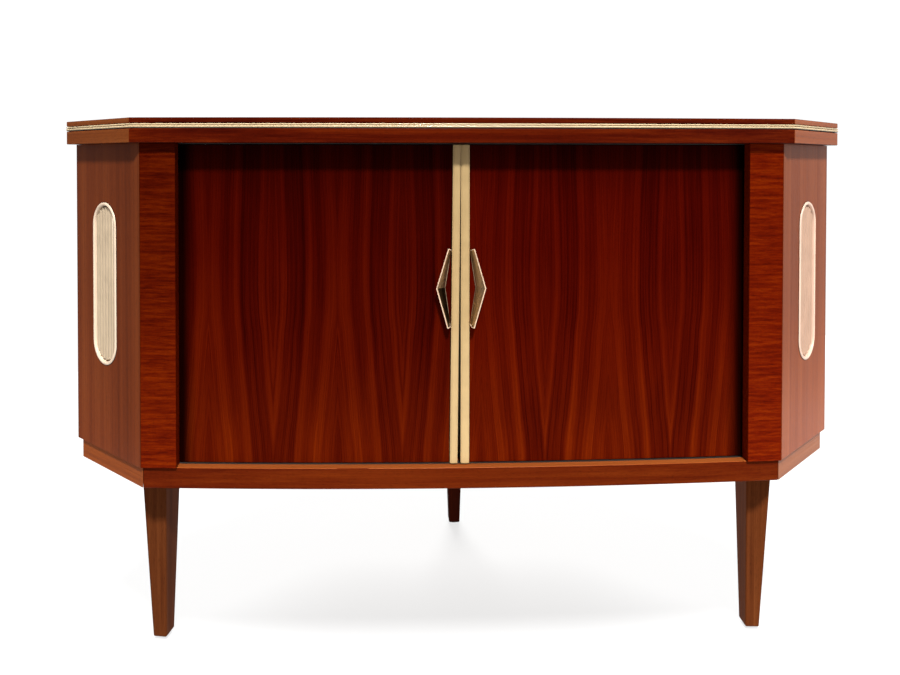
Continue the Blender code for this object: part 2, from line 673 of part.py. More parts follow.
def make_arm():
    x, y = ARM_PIVOT[0], FRONT_Y + ARM_PIVOT[1]
    arm_z = DECK_TOP + ARM_Z
    post = ((0, ARM_Z + 0.007), (0.011, ARM_Z + 0.007), (0.012, ARM_Z + 0.006), (0.012, 0.022))
    post += ((0.017, 0.019), (0.019, 0.006), (0.026, 0.003), (0.026, GAP), (0, GAP))
    at = Matrix.Translation((x, y, DECK_TOP))
    yoke = turned("tonearm_pivot", post, "cream_plastic", at, 32)
    gap = rectangle(-0.0064, -0.03, 0.0064, 0.03)
    cut(yoke, prism("yoke_gap", gap, ARM_Z - 0.0095, ARM_Z + 0.02, "cream_plastic", at, CUTTERS))
    # local Z runs forwards along the arm, from the counterweight to the head
    tube = ((0, ARM_LENGTH - 0.020), (0.0042, ARM_LENGTH - 0.020), (0.0055, 0.012), (0.0055, -0.016))
    tube += ((0.0125, -0.018), (0.0125, -ARM_TAIL + 0.002), (0.0105, -ARM_TAIL), (0, -ARM_TAIL))
    arm = turned("tonearm", tube, "cream_plastic", facing(x, y, arm_z), 20)
    taper = [(-0.0065, -0.034), (0.0065, -0.034), (0.0105, 0.012), (-0.0105, 0.012)]
    loops = [[(px, py, z) for px, py in taper] for z in (-0.0125, 0.0055)]
    tip = Matrix.Translation((x, y - ARM_LENGTH, arm_z)) @ Matrix.Rotation(math.pi, 4, "Z")
    head = skin("tonearm_head", loops, "cream_plastic", matrix=tip, collection=CUTTERS)
    boolean(arm, head, "UNION")
    rest_y = y - ARM_LENGTH * 0.72
    rest = ((0, ARM_Z - 0.0058), (0.006, ARM_Z - 0.0058), (0.007, ARM_Z - 0.010), (0.0035, ARM_Z - 0.014))
    rest += ((0.0035, 0.004), (0.008, 0.002), (0.008, GAP), (0, GAP))
    turned("arm_rest", rest, "steel", Matrix.Translation((x, rest_y, DECK_TOP)), 20)


def make_radio():
    low, high = RADIO_SHELF_Z + SHELF_THICK + GAP, CARCASE_TOP - GAP
    left = DIVIDER_THICK / 2 + GAP
    front = FRONT_Y + BAY_FRONT
    back = front + FASCIA_THICK
    board = rectangle(left, front, partition_x(BAY_FRONT + FASCIA_THICK) - 0.0006, back)
    fascia = prism("radio_fascia", board, low, high, "walnut_light")
    dial_x, dial_z, wide, tall = DIAL
    window = rectangle(-wide / 2, -tall / 2, wide / 2, tall / 2)
    at = facing(dial_x, front, dial_z)
    cut(fascia, prism("dial_window", window, -0.03, 0.03, "glass", at, CUTTERS))
    slot_half = (KEYS_X[-1] - KEYS_X[0]) / 2 + KEY_SIZE[0] / 2 + 0.0012
    slot = rectangle(-slot_half, -KEY_SIZE[1] / 2 - 0.0012, slot_half, KEY_SIZE[1] / 2 + 0.0012)
    at_keys = facing(KEYS_X[1], front, CONTROL_Z)
    cut(fascia, prism("key_slot", slot, -0.03, 0.03, "glass", at_keys, CUTTERS))
    for name, x in (("tuning_hole", TUNING_X), ("volume_hole", VOLUME_X)):
        hole = prism(name, circle(0.0048, 16), -0.03, 0.03, "glass", facing(x, front, CONTROL_Z), CUTTERS)
        cut(fascia, hole)
    pane = rectangle(-wide / 2 + GAP, -tall / 2 + GAP, wide / 2 - GAP, tall / 2 - GAP)
    prism("dial_glass", pane, -0.004, -0.001, "glass", at)
    scale = rectangle(-wide / 2 - 0.008, -tall / 2 - 0.008, wide / 2 + 0.008, tall / 2 + 0.008)
    prism("dial_scale", scale, -0.0125, -FASCIA_THICK - GAP, "cream_plastic", at)
    needle = rectangle(-0.0008, -tall / 2 + 0.004, 0.0008, tall / 2 - 0.004)
    pointer = prism("dial_pointer", needle, -0.0085, -0.0065, "brass", at)
    origin_to(pointer, at @ Vector((0, 0, -0.0075)))
    knob = ((0, 0.020), (0.014, 0.020), (0.0165, 0.018), (0.019, 0.004), (0.0205, 0.003))
    knob += ((0.0205, 0.0008), (0.0042, 0.0008), (0.0042, -0.022), (0, -0.022))
    turned("tuning_knob", knob, "cream_plastic", facing(TUNING_X, front, CONTROL_Z), 32)
    turned("volume_knob", knob, "cream_plastic", facing(VOLUME_X, front, CONTROL_Z), 32)
    for number, x in enumerate(KEYS_X, 1):
        half, tall_half = KEY_SIZE[0] / 2, KEY_SIZE[1] / 2
        frame = facing(x, front, CONTROL_Z)
        loops = [
            [(px, py, w) for px, py in rectangle(-half + t, -tall_half + t, half - t, tall_half - t)]
            for w, t in ((-0.021, 0.0), (0.0095, 0.0), (0.0115, 0.002))
        ]
        key = skin(f"push_key_{number}", loops, "cream_plastic", matrix=frame)
        origin_to(key, frame @ Vector((0, 0, 0)))
    chassis = [
        Vector((0.040, front + 0.042)),
        Vector((partition_x(0.30) - 0.020, front + 0.042)),
        Vector((partition_x(0.30) - 0.020, FRONT_Y + 0.300)),
        Vector((0.040, FRONT_Y + 0.300)),
    ]
    prism("radio_chassis", chassis, low, low + 0.055, "steel")


make_top()
make_base()
make_walls()
make_backs()
make_legs()
make_tracks()
make_doors()
make_grilles()
make_interior()
make_deck()
make_radio()
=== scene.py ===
"""Looks of the radio phonograph console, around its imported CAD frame. Metres, +Z up, the front faces -Y."""

import json
import math

import bmesh
import bpy
from mathutils import Matrix, Vector

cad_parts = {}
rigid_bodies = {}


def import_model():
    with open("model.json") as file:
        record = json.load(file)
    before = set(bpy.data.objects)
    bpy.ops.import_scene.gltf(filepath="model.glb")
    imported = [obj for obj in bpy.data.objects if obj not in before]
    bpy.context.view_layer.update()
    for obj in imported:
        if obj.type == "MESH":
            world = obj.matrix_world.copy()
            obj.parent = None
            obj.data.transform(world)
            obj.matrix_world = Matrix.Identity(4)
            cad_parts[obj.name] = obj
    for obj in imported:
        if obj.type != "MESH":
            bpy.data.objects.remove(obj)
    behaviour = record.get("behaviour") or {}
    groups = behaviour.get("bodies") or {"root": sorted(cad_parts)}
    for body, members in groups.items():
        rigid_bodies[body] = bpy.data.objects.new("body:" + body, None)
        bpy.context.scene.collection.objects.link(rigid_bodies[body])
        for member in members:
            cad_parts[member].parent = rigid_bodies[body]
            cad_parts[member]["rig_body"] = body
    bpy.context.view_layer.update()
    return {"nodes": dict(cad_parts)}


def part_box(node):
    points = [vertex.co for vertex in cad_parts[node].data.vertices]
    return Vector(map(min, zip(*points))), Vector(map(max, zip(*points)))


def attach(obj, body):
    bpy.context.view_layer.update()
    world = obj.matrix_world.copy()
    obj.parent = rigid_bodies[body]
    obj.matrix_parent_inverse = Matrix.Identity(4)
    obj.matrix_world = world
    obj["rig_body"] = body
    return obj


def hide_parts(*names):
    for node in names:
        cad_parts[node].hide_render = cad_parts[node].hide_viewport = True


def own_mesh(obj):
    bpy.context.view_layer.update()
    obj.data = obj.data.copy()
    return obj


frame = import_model()
NODES = frame["nodes"]

# ---- plan of the cabinet, in the same dimensions as the CAD ----

HEIGHT = 0.800
CARCASE_DEEP = 0.560
HALF_FRONT = 0.4722
BOW = 0.0168
SIDE_RUN = 0.1985
TOP_LIP, TRIM_HIGH, TRIM_PROUD = 0.0083, 0.0070, 0.0008
TOP_FRONT_OVERHANG, TOP_SIDE_OVERHANG = 0.0135, 0.0162
GAP = 0.0003
BASE_HIGH = 0.292
CARCASE_TOP = 0.764
DOOR_INSET, SLAT_THICK = 0.022, 0.006
STRIPS = {-1: (0.0070, 0.0112), 1: (-0.0068, 0.0128)}
LEAD_PROUD, SAG = 0.0065, 0.0043
TURN_X, TURN_RADIUS = 0.424, 0.033
RUN_ANGLE = math.radians(26)
TAIL_FROM = 0.006
HANDLE_Z, HANDLE_HALF = 0.5527, 0.0583
HANDLE_APEX_FRONT, HANDLE_APEX_BACK = 0.0225, 0.0095
HANDLE_END_FRONT, HANDLE_END_BACK = 0.0058, 0.0012
HANDLE_DEEP = 0.017
GRILLE_ALONG, GRILLE_Z = 0.105, 0.550
GRILLE_RADIUS, GRILLE_HALF, GRILLE_RIM = 0.036, 0.0885, 0.0048
FLUTES = 7
SPINDLE = (-0.190, 0.238)
PLATTER_RADIUS, PLATTER_Z = 0.127, 0.0185
DECK_TOP = 0.5003
DIAL = (0.222, 0.674, 0.300, 0.074)
CONTROL_Z = 0.572
TUNING_X, VOLUME_X = 0.352, 0.092
BAY_FRONT = 0.078
INLET = (0.100, 0.345)

FRONT_Y = (TOP_FRONT_OVERHANG + TRIM_PROUD - CARCASE_DEEP) / 2
RADIUS = (HALF_FRONT**2 + BOW**2) / (2 * BOW)
ARC_Y = FRONT_Y + RADIUS
CORNER = Vector((HALF_FRONT, FRONT_Y + BOW))
DIAGONAL = math.sqrt(0.5)
SLAT_LOW, SLAT_HIGH = BASE_HIGH + 0.0025, CARCASE_TOP - 0.0025
SLAT_MIDDLE = DOOR_INSET + SLAT_THICK / 2
SIDES = {-1: "left", 1: "right"}


def front_y(x, inset=0.0):
    return ARC_Y - math.sqrt((RADIUS - inset) ** 2 - x * x)


def side_point(along, inset):
    return CORNER + along * Vector((DIAGONAL, DIAGONAL)) + inset * Vector((-DIAGONAL, DIAGONAL))


def corner_point(front_inset, side_inset):
    x = HALF_FRONT
    for _ in range(12):
        x = HALF_FRONT + front_y(x, front_inset) - CORNER.y - side_inset / DIAGONAL
    return Vector((x, front_y(x, front_inset)))


RUN_NORMAL = Vector((math.cos(RUN_ANGLE), math.sin(RUN_ANGLE)))
RUN_WAY = Vector((-math.sin(RUN_ANGLE), math.cos(RUN_ANGLE)))
TURN_TILT = math.asin(TURN_X / (RADIUS - SLAT_MIDDLE))
TURN_CENTRE = Vector((0, ARC_Y)) + (RADIUS - SLAT_MIDDLE - TURN_RADIUS) * Vector(
    (math.sin(TURN_TILT), -math.cos(TURN_TILT))
)


def placed(at, *axes_of):
    """The frame at a point whose local X, Y and Z are the axes given."""
    return Matrix.Translation(at) @ Matrix(axes_of).transposed().to_4x4()


def side_frame(side, along, height):
    at = side_point(along, 0.0)
    return placed((side * at.x, at.y, height), (side * DIAGONAL, DIAGONAL, 0), (0, 0, 1),
                  (side * DIAGONAL, -DIAGONAL, 0))


def facing(x, y, z):
    return placed((x, y, z), (1, 0, 0), (0, 0, 1), (0, -1, 0))


def link(thing):
    bpy.context.scene.collection.objects.link(thing)


# ---- camera and light ----


def make_camera():
    data = bpy.data.cameras.new("camera")
    data.sensor_width, data.lens = 36.0, 33.170
    data.shift_x, data.shift_y = 0.03898, -0.17967
    camera = bpy.data.objects.new("camera", data)
    forward = Vector((0.033373, 0.999304, -0.016645)).normalized()
    right = Vector((0.999443, -0.033367, 0.000630))
    up = right.cross(forward).normalized()
    right = forward.cross(up)
    camera.matrix_world = placed((-0.1144, -1.4642, 0.7365), right, up, -forward)
    link(camera)
    bpy.context.scene.camera = camera


def make_light(name, kind, energy, place, aim, **settings):
    data = bpy.data.lights.new(name, kind)
    data.energy = energy
    for key, value in settings.items():
        setattr(data, key, value)
    light = bpy.data.objects.new(name, data)
    light.location = place
    light.rotation_euler = (Vector(aim) - Vector(place)).to_track_quat("-Z", "Y").to_euler()
    link(light)
    return light


# ---- node graphs ----


def add(tree, kind, inputs=None, out=0, **props):
    """Adds a shader node: an input that is a socket is linked, and any other is set. Returns one output."""
    node = tree.nodes.new("ShaderNode" + kind)
    for key, value in props.items():
        setattr(node, key, value)
    for key, value in (inputs or {}).items():
        if isinstance(value, bpy.types.NodeSocket):
            tree.links.new(value, node.inputs[key])
        else:
            node.inputs[key].default_value = value
    return node.outputs[out]


def calc(tree, operation, *values, clamp=False):
    return add(tree, "Math", dict(enumerate(values)), operation=operation, use_clamp=clamp)


def weighted(tree, *terms):
    """The sum of (socket, weight) terms."""
    (first, share), *others = terms
    value = calc(tree, "MULTIPLY", first, share)
    for socket, weight in others:
        value = calc(tree, "MULTIPLY_ADD", socket, weight, value)
    return value


def ramp(tree, value, stops, interpolation="LINEAR"):
    """A colour ramp of (position, colour) stops, where a number stands for a grey."""
    node = tree.nodes.new("ShaderNodeValToRGB")
    band = node.color_ramp
    band.interpolation = interpolation
    while len(band.elements) < len(stops):
        band.elements.new(0.5)
    for element, (at, colour) in zip(band.elements, stops):
        element.position = at
        element.color = (*colour, 1) if hasattr(colour, "__len__") else (colour, colour, colour, 1)
    tree.links.new(value, node.inputs[0])
    return node.outputs[0]


def blend_colours(tree, share, a, b, mode="MIX"):
    return add(tree, "Mix", {0: share, 6: a, 7: b}, out=2, data_type="RGBA", blend_type=mode)


def grained(tree, point, size, detail=2.0, rough=0.5, distortion=0.0, turn=(0, 0, 0), offset=(0, 0, 0)):
    """Noise with features of this size in metres along the axes that turn gives."""
    inputs = {"Vector": point, "Rotation": turn, "Scale": size, "Location": offset}
    at = add(tree, "Mapping", inputs, vector_type="TEXTURE")
    inputs = {"Vector": at, "Scale": 1.0, "Detail": detail, "Roughness": rough, "Distortion": distortion}
    return add(tree, "TexNoise", inputs)


def start_material(name):
    material = bpy.data.materials.new(name)
    material.use_nodes = True
    tree = material.node_tree
    return material, tree, tree.nodes["Principled BSDF"]


def set_shader(tree, shader, colour=None, rough=None, bump=None, **plain):
    """colour, rough and bump may be sockets; every other value is set on the shader itself."""
    for key, value in (("Base Color", colour), ("Roughness", rough)):
        if isinstance(value, bpy.types.NodeSocket):
            tree.links.new(value, shader.inputs[key])
        elif value is not None:
            shader.inputs[key].default_value = value
    if bump is not None:
        height, distance, strength = bump
        normal = add(tree, "Bump", {"Height": height, "Distance": distance, "Strength": strength})
        tree.links.new(normal, shader.inputs["Normal"])
    for key, value in plain.items():
        shader.inputs[key.replace("_", " ")].default_value = value


def axes(along, across):
    along, across = Vector(along).normalized(), Vector(across).normalized()
    return Matrix((along, across, along.cross(across))).transposed().to_euler()


# ---- wood ----

GRAIN_DEPTH = 0.00012
COAT_ROUGH = 0.12


def multiply(tree, share, a, b):
    return blend_colours(tree, share, a, b, "MULTIPLY")


def gloss_range(tree, value, low, high):
    inputs = {"Value": value, "From Min": 0.3, "From Max": 0.7, "To Min": low, "To Max": high}
    return add(tree, "MapRange", inputs)


def painted_light_by_height(tree, point, low, high, *gains):
    """Painted light and shade: a gain on a colour that changes with height. Gains are spaced evenly from low
    to high, at most 2.
    """
    height = add(tree, "SeparateXYZ", {0: point}, out=2)
    share = add(tree, "MapRange", {"Value": height, "From Min": low, "From Max": high})
    halves = [(i / (len(gains) - 1), g / 2 if isinstance(g, float) else tuple(c / 2 for c in g))
              for i, g in enumerate(gains)]
    return multiply(tree, 1.0, ramp(tree, share, halves), (2, 2, 2, 1))


def wood(name, tones, along, across=(0, 1, 0), band=0.022, line=0.0028, contrast=1.0, reach=0.9,
         offset=(0, 0, 0), rough=(0.27, 0.40), coat=0.0, specular=0.2, gain=None):
    """Lacquered veneer or solid wood, with its grain along one axis of the model. gain is a low height, a high
    height and the gains on its tone, evenly spaced between them: painted light and shade by height."""
    material, tree, shader = start_material(name)
    point = add(tree, "TexCoord", out=3)
    turn = axes(along, across)
    bands = grained(tree, point, (reach, band, band), 4, 0.6, 0.0, turn, offset)
    lines = grained(tree, point, (reach * 0.55, line, line), 3, 0.6, 0.0, turn, offset)
    fibres = grained(tree, point, (0.035, 0.0006, 0.0006), 2, 0.6, 0.0, turn, offset)
    pores = grained(tree, point, (0.0075, 0.00042, 0.00042), 1, 0.5, 0.0, turn, offset)
    cloud = grained(tree, point, (0.35, 0.20, 0.20), 1, 0.5, 0.0, turn, offset)
    layers = ((bands, 0.85 * contrast), (lines, 0.42 * contrast), (fibres, 0.22), (cloud, 0.35))
    value = weighted(tree, *layers)
    middle = 0.5 * sum(weight for _, weight in layers)
    value = calc(tree, "ADD", calc(tree, "SUBTRACT", value, middle), 0.5, clamp=True)
    dark, mid, light = tones
    colour = ramp(tree, value, ((0.22, dark), (0.47, mid), (0.78, light)))
    pore = ramp(tree, pores, ((0.30, 0.45), (0.42, 1.0)))
    colour = multiply(tree, 0.7, colour, pore)
    # Painted light and shade: the tone is brightened or darkened by height.
    if gain is not None:
        colour = multiply(tree, 1.0, colour, painted_light_by_height(tree, point, *gain))
    gloss = gloss_range(tree, lines, *rough)
    height = weighted(tree, (pore, 0.6), (fibres, 0.5))
    set_shader(tree, shader, colour, gloss, (height, GRAIN_DEPTH, 0.5), Coat_Weight=coat,
               Coat_Roughness=COAT_ROUGH, Specular_IOR_Level=specular)
    return material


# One leaf of the door veneer. LEAF_SWAY is how far its stripes lie towards the next joint, by height.
# LEAF_TONE is their lights and darks at each turning point, by distance from the joint.
LEAF = 0.095
LEAF_SWAY = ((0.0, 0.82), (0.07, 0.71), (0.14, 0.57), (0.27, 0.33), (0.41, 0.15), (0.47, 0.05), (0.57, 0.0),
             (0.74, 0.03), (0.92, 0.18))
LEAF_TONE = ((-0.030, 0.80), (-0.012, 1.08), (0.0, 1.0), (0.003, 1.20), (0.012, 1.24), (0.019, 0.98),
             (0.026, 0.82), (0.033, 0.97), (0.039, 1.31), (0.043, 1.22), (0.049, 0.57), (0.056, 0.84),
             (0.061, 0.72), (0.073, 0.75), (0.078, 1.33), (0.083, 0.88), (0.089, 1.00), (0.094, 0.77))
DOOR_RED = 0.050
# DOOR_HUE and DOOR_PAINTED_LIGHT_GAIN are painted light and shade by height: the veneer is painted lighter and
# more orange low down, as if lit from the floor, and a painted shadow darkens it at the top under the top
# board.
DOOR_HUE = ((1.0, 1.25, 1.0), (1.0, 1.05, 0.8), (1.0, 0.78, 0.6), (1.0, 0.66, 0.5), (1.0, 0.50, 0.5),
            (1.0, 0.45, 0.5), (1.0, 0.40, 0.5))
DOOR_PAINTED_LIGHT_GAIN = {-1: (1.72, 1.34, 1.10, 0.92, 0.74, 0.62, 0.36), 1: (1.93, 1.50, 1.30, 1.12, 0.95, 0.84, 0.46)}
# Painted shade: each door's outer end darkens to near black where it runs in behind the stile.
DOOR_END_PAINTED_SHADE = ((0.394, 1.0), (0.408, 0.50), (0.4115, 0.10), (0.43, 0.04))
DOOR_CENTRES = {-1: -0.377, 1: 0.024}


def door_figure(name, hand):
    """Book-matched leaves of veneer: the same stripes lie mirrored to each side of every joint, and sway
    downwards away from it."""
    material, tree, shader = start_material(name)
    point = add(tree, "TexCoord", out=3)
    split = add(tree, "SeparateXYZ", {0: point})
    height = add(tree, "SeparateXYZ", {0: point}, out=2)
    warp = grained(tree, point, (0.03, 0.9, 0.16), 2, 0.5, offset=(0.3 * hand, 0.1, 0.0))
    near = calc(tree, "PINGPONG", calc(tree, "SUBTRACT", split, DOOR_CENTRES[hand] - 8 * LEAF), LEAF)
    share = calc(tree, "DIVIDE", calc(tree, "SUBTRACT", height, SLAT_LOW), SLAT_HIGH - SLAT_LOW)
    sway = ramp(tree, share, LEAF_SWAY, "B_SPLINE")
    pull = calc(tree, "EXPONENT", calc(tree, "DIVIDE", near, -0.015))
    pull = calc(tree, "MULTIPLY_ADD", pull, 0.9, 1.0)
    across = calc(tree, "SUBTRACT", near, calc(tree, "MULTIPLY", calc(tree, "MULTIPLY", sway, 0.025), pull))
    across = calc(tree, "MULTIPLY_ADD", calc(tree, "SUBTRACT", warp, 0.5), 0.004, across)
    first, last = LEAF_TONE[0][0], LEAF_TONE[-1][0]
    tone = ramp(tree, calc(tree, "DIVIDE", calc(tree, "SUBTRACT", across, first), last - first),
                [((at - first) / (last - first), value / 1.5) for at, value in LEAF_TONE])
    flow = add(tree, "CombineXYZ", {0: across, 1: 0.0, 2: height})
    seed = (0.31 * hand, 0.17, 0.05 * hand)
    lines = grained(tree, flow, (0.0024, 1, 0.45), 3, 0.65, offset=seed)
    thin = grained(tree, flow, (0.0010, 1, 0.22), 3, 0.6, offset=seed)
    fibres = grained(tree, point, (0.0007, 0.0007, 0.04), 2, 0.6, offset=seed)
    pores = grained(tree, point, (0.0005, 0.0005, 0.009), 1, 0.5, offset=seed)
    cloud = grained(tree, point, (0.05, 0.5, 0.20), 2, 0.5, offset=seed)
    value = calc(tree, "MULTIPLY", tone, 0.75)
    for noise, strength in ((lines, 0.60), (thin, 0.50), (fibres, 0.22), (cloud, 0.34)):
        value = calc(tree, "MULTIPLY_ADD", calc(tree, "SUBTRACT", noise, 0.5), strength, value)
    stops = []
    for v in (0.15, 0.6, 1.0, 1.4, 2.0):
        red = DOOR_RED * v
        stops.append((v / 2, (red, red * (0.036 + 0.044 * (v - 0.6)), red * 0.004)))
    pore = ramp(tree, pores, ((0.30, 0.6), (0.42, 1.0)))
    colour = multiply(tree, 0.5, ramp(tree, value, stops), pore)
    # Painted light and shade by height, from the door gains and hues.
    gains = [tuple(gain * c for c in hue) for gain, hue in zip(DOOR_PAINTED_LIGHT_GAIN[hand], DOOR_HUE)]
    colour = multiply(tree, 1.0, colour, painted_light_by_height(tree, point, SLAT_LOW, SLAT_HIGH, *gains))
    # Painted shade at each door's outer end, behind the stile.
    colour = multiply(tree, 1.0, colour, ramp(tree, calc(tree, "ABSOLUTE", split), DOOR_END_PAINTED_SHADE))
    gloss = gloss_range(tree, lines, 0.34, 0.46)
    bump = weighted(tree, (pore, 0.6), (fibres, 0.5))
    set_shader(tree, shader, colour, gloss, (bump, GRAIN_DEPTH, 0.5), Specular_IOR_Level=0.006)
    return material


# ---- other materials ----


def smooth_finish(name, colour, rough, metal=0.0, mottle=0.12, size=0.02, coat=0.0, grime=None, gain=None):
    """Plastic, enamel, rubber or metal: a faint mottle in its colour and gloss over a fine surface texture."""
    material, tree, shader = start_material(name)
    point = add(tree, "TexCoord", out=3)
    cloud = grained(tree, point, (size, size, size), 3, 0.6)
    fine = grained(tree, point, (0.0012, 0.0012, 0.0012), 2, 0.6)
    darker = tuple(c * (1 - mottle) for c in colour)
    lighter = tuple(min(1.0, c * (1 + mottle * 0.6)) for c in colour)
    shown = ramp(tree, cloud, ((0.32, darker), (0.68, lighter)))
    if grime is not None:
        dirt = ramp(tree, grained(tree, point, (0.004, 0.004, 0.03), 3, 0.7), ((0.60, 0.0), (0.80, 1.0)))
        shown = blend_colours(tree, calc(tree, "MULTIPLY", dirt, 0.35), shown, (*grime, 1))
    # Painted light and shade: gain brightens or darkens the colour by height.
    if gain is not None:
        shown = multiply(tree, 1.0, shown, painted_light_by_height(tree, point, *gain))
    gloss = gloss_range(tree, cloud, rough * 0.88, rough * 1.12)
    set_shader(tree, shader, shown, gloss, (fine, 0.00004, 0.4), Metallic=metal, Coat_Weight=coat,
               Coat_Roughness=COAT_ROUGH)
    return material


def brushed(name, colour, rough, size):
    """Metal with fine parallel brush lines: size is their length along each axis."""
    material, tree, shader = start_material(name)
    point = add(tree, "TexCoord", out=3)
    lines = grained(tree, point, size, 3, 0.7)
    cloud = grained(tree, point, (0.012, 0.012, 0.012), 2, 0.5)
    shown = ramp(tree, weighted(tree, (lines, 0.6), (cloud, 0.4)),
                 ((0.3, tuple(c * 0.78 for c in colour)), (0.7, colour)))
    gloss = gloss_range(tree, lines, rough * 0.8, rough * 1.25)
    set_shader(tree, shader, shown, gloss, (lines, 0.00005, 0.5), Metallic=1.0)
    return material


def hardboard_finish():
    material, tree, shader = start_material("hardboard")
    point = add(tree, "TexCoord", out=3)
    fibres = grained(tree, point, (0.006, 0.006, 0.0035), 4, 0.75, 1.5)
    speckle = grained(tree, point, (0.0011, 0.0011, 0.0011), 2, 0.7)
    cloud = grained(tree, point, (0.15, 0.15, 0.12), 2, 0.5)
    value = weighted(tree, (fibres, 0.5), (speckle, 0.25), (cloud, 0.35))
    dark, mid, light = (0.075, 0.038, 0.018), (0.135, 0.075, 0.038), (0.20, 0.12, 0.07)
    colour = ramp(tree, value, ((0.35, dark), (0.55, mid), (0.75, light)))
    set_shader(tree, shader, colour, 0.78, (fibres, 0.0004, 0.5))
    return material


def glass_finish():
    material, tree, shader = start_material("dial_glass")
    set_shader(tree, shader, (0.30, 0.34, 0.31, 1), 0.04, Alpha=0.10, Specular_IOR_Level=0.3)
    return material


def dial_finish():
    """The lit dial card: two dark bands behind the printed scales and a cream middle."""
    material, tree, shader = start_material("dial_card")
    point = add(tree, "TexCoord", out=3)
    height = add(tree, "SeparateXYZ", {0: point}, out=2)
    share = calc(tree, "DIVIDE", calc(tree, "SUBTRACT", height, DIAL[1] - DIAL[3] / 2), DIAL[3])
    cream, brown, gold = (0.62, 0.50, 0.30), (0.028, 0.014, 0.008), (0.45, 0.28, 0.08)
    bands = ((0.0, gold), (0.06, brown), (0.48, cream), (0.52, brown), (0.94, gold))
    colour = ramp(tree, share, bands, "CONSTANT")
    cloud = grained(tree, point, (0.02, 0.02, 0.02), 2, 0.5)
    stain = ramp(tree, cloud, ((0.3, 0.86), (0.7, 1.0)))
    set_shader(tree, shader, multiply(tree, 1.0, colour, stain), 0.42, (cloud, 0.00005, 0.2))
    return material


# ---- meshes ----


def new_piece(mesh, material, node=None, body=None, smooth=35.0):
    """A piece named as its mesh, with the body given or that of the CAD node it stands for."""
    mesh.materials.clear()
    mesh.materials.append(material)
    piece = bpy.data.objects.new(mesh.name, mesh)
    link(piece)
    mesh.polygons.foreach_set("use_smooth", [True] * len(mesh.polygons))
    mesh.set_sharp_from_angle(angle=math.radians(smooth))
    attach(piece, body or NODES[node]["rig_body"])
    if node is not None:
        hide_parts(node)
    return piece


def to_mesh(name, bm):
    bmesh.ops.recalc_face_normals(bm, faces=bm.faces)
    mesh = bpy.data.meshes.new(name)
    bm.to_mesh(mesh)
    bm.free()
    return mesh


def loft(name, loops, ring=False, matrix=None):
    """A skin over loops of equal length, capped at both ends or closed into a ring."""
    bm = bmesh.new()
    rows = [[bm.verts.new(Vector(p)) for p in loop] for loop in loops]
    count = len(rows[0])
    pairs = list(zip(rows, rows[1:] + rows[:1])) if ring else list(zip(rows, rows[1:]))
    for lower, upper in pairs:
        for i in range(count):
            j = (i + 1) % count
            bm.faces.new((lower[i], lower[j], upper[j], upper[i]))
    if not ring:
        bm.faces.new(rows[0])
        bm.faces.new(rows[-1])
    if matrix is not None:
        bm.transform(matrix)
    return to_mesh(name, bm)


def lathe(name, profile, matrix, steps=64, wave=None):
    """A solid turned about local Z from (radius, height) points. wave scales the radius at each of them."""
    bm = bmesh.new()
    rows = []
    for radius, height in profile:
        if radius < 1e-6:
            rows.append([bm.verts.new((0, 0, height))])
            continue
        row = []
        for i in range(steps):
            angle = 2 * math.pi * i / steps
            r = radius * (wave(angle, radius, height) if wave else 1.0)
            row.append(bm.verts.new((r * math.cos(angle), r * math.sin(angle), height)))
        rows.append(row)
    closed = profile[0][0] > 1e-6 and profile[-1][0] > 1e-6
    for a, b in list(zip(rows, rows[1:])) + ([(rows[-1], rows[0])] if closed else []):
        for i in range(steps):
            j = (i + 1) % steps
            if len(a) == 1:
                bm.faces.new((a[0], b[i], b[j]))
            elif len(b) == 1:
                bm.faces.new((a[i], b[0], a[j]))
            else:
                bm.faces.new((a[i], b[i], b[j], a[j]))
    bm.transform(matrix)
    return to_mesh(name, bm)


def stadium(radius, half):
    """An upright oblong with round ends, whose ends are centred half above and below the middle."""
    steps = 28
    points = []
    for centre, first in ((half, 0.0), (-half, math.pi)):
        for i in range(steps + 1):
            angle = first + math.pi * i / steps
            points.append((radius * math.cos(angle), centre + radius * math.sin(angle)))
    return points


def rounded(node, material, width, segments=2):
    """The CAD node's own shape with its edges eased, standing for the node."""
    bm = bmesh.new()
    bm.from_mesh(NODES[node].data)
    bmesh.ops.remove_doubles(bm, verts=bm.verts, dist=1e-6)
    bmesh.ops.dissolve_limit(bm, angle_limit=math.radians(0.15), verts=bm.verts, edges=bm.edges)
    mesh = bpy.data.meshes.new(node + "_shape")
    bm.to_mesh(mesh)
    bm.free()
    piece = new_piece(mesh, material, node=node)
    if width:
        bevel = piece.modifiers.new("ease", "BEVEL")
        bevel.width, bevel.segments = width, segments
        bevel.limit_method, bevel.angle_limit = "ANGLE", math.radians(30)
        bevel.harden_normals = True
    return piece


# ---- the visible outside ----

make_camera()

TOP_TONES = ((0.029, 0.0012, 0.0002), (0.062, 0.0040, 0.0004), (0.122, 0.013, 0.0010))
STILE_TONES = {
    -1: ((0.032, 0.0012, 0.0001), (0.066, 0.0038, 0.0001), (0.114, 0.0108, 0.0002)),
    1: ((0.050, 0.0018, 0.0001), (0.102, 0.0052, 0.0001), (0.170, 0.0155, 0.0003)),
}
# Painted light by height: the stiles are lighter low down and darker under the top.
STILE_PAINTED_LIGHT_GAIN = {-1: (1.56, 1.05, 0.82), 1: (1.18, 1.02, 0.94)}
# Painted light by height: the side panels are lighter along their foot, the right one with a painted
# reflection there.
PANEL_PAINTED_LIGHT_GAIN = {-1: (1.20, 1.00, 0.99), 1: (1.38, 1.00, 1.00)}
RAIL_TONES = ((0.045, 0.0036, 0.0006), (0.090, 0.0092, 0.0011), (0.145, 0.021, 0.0022))
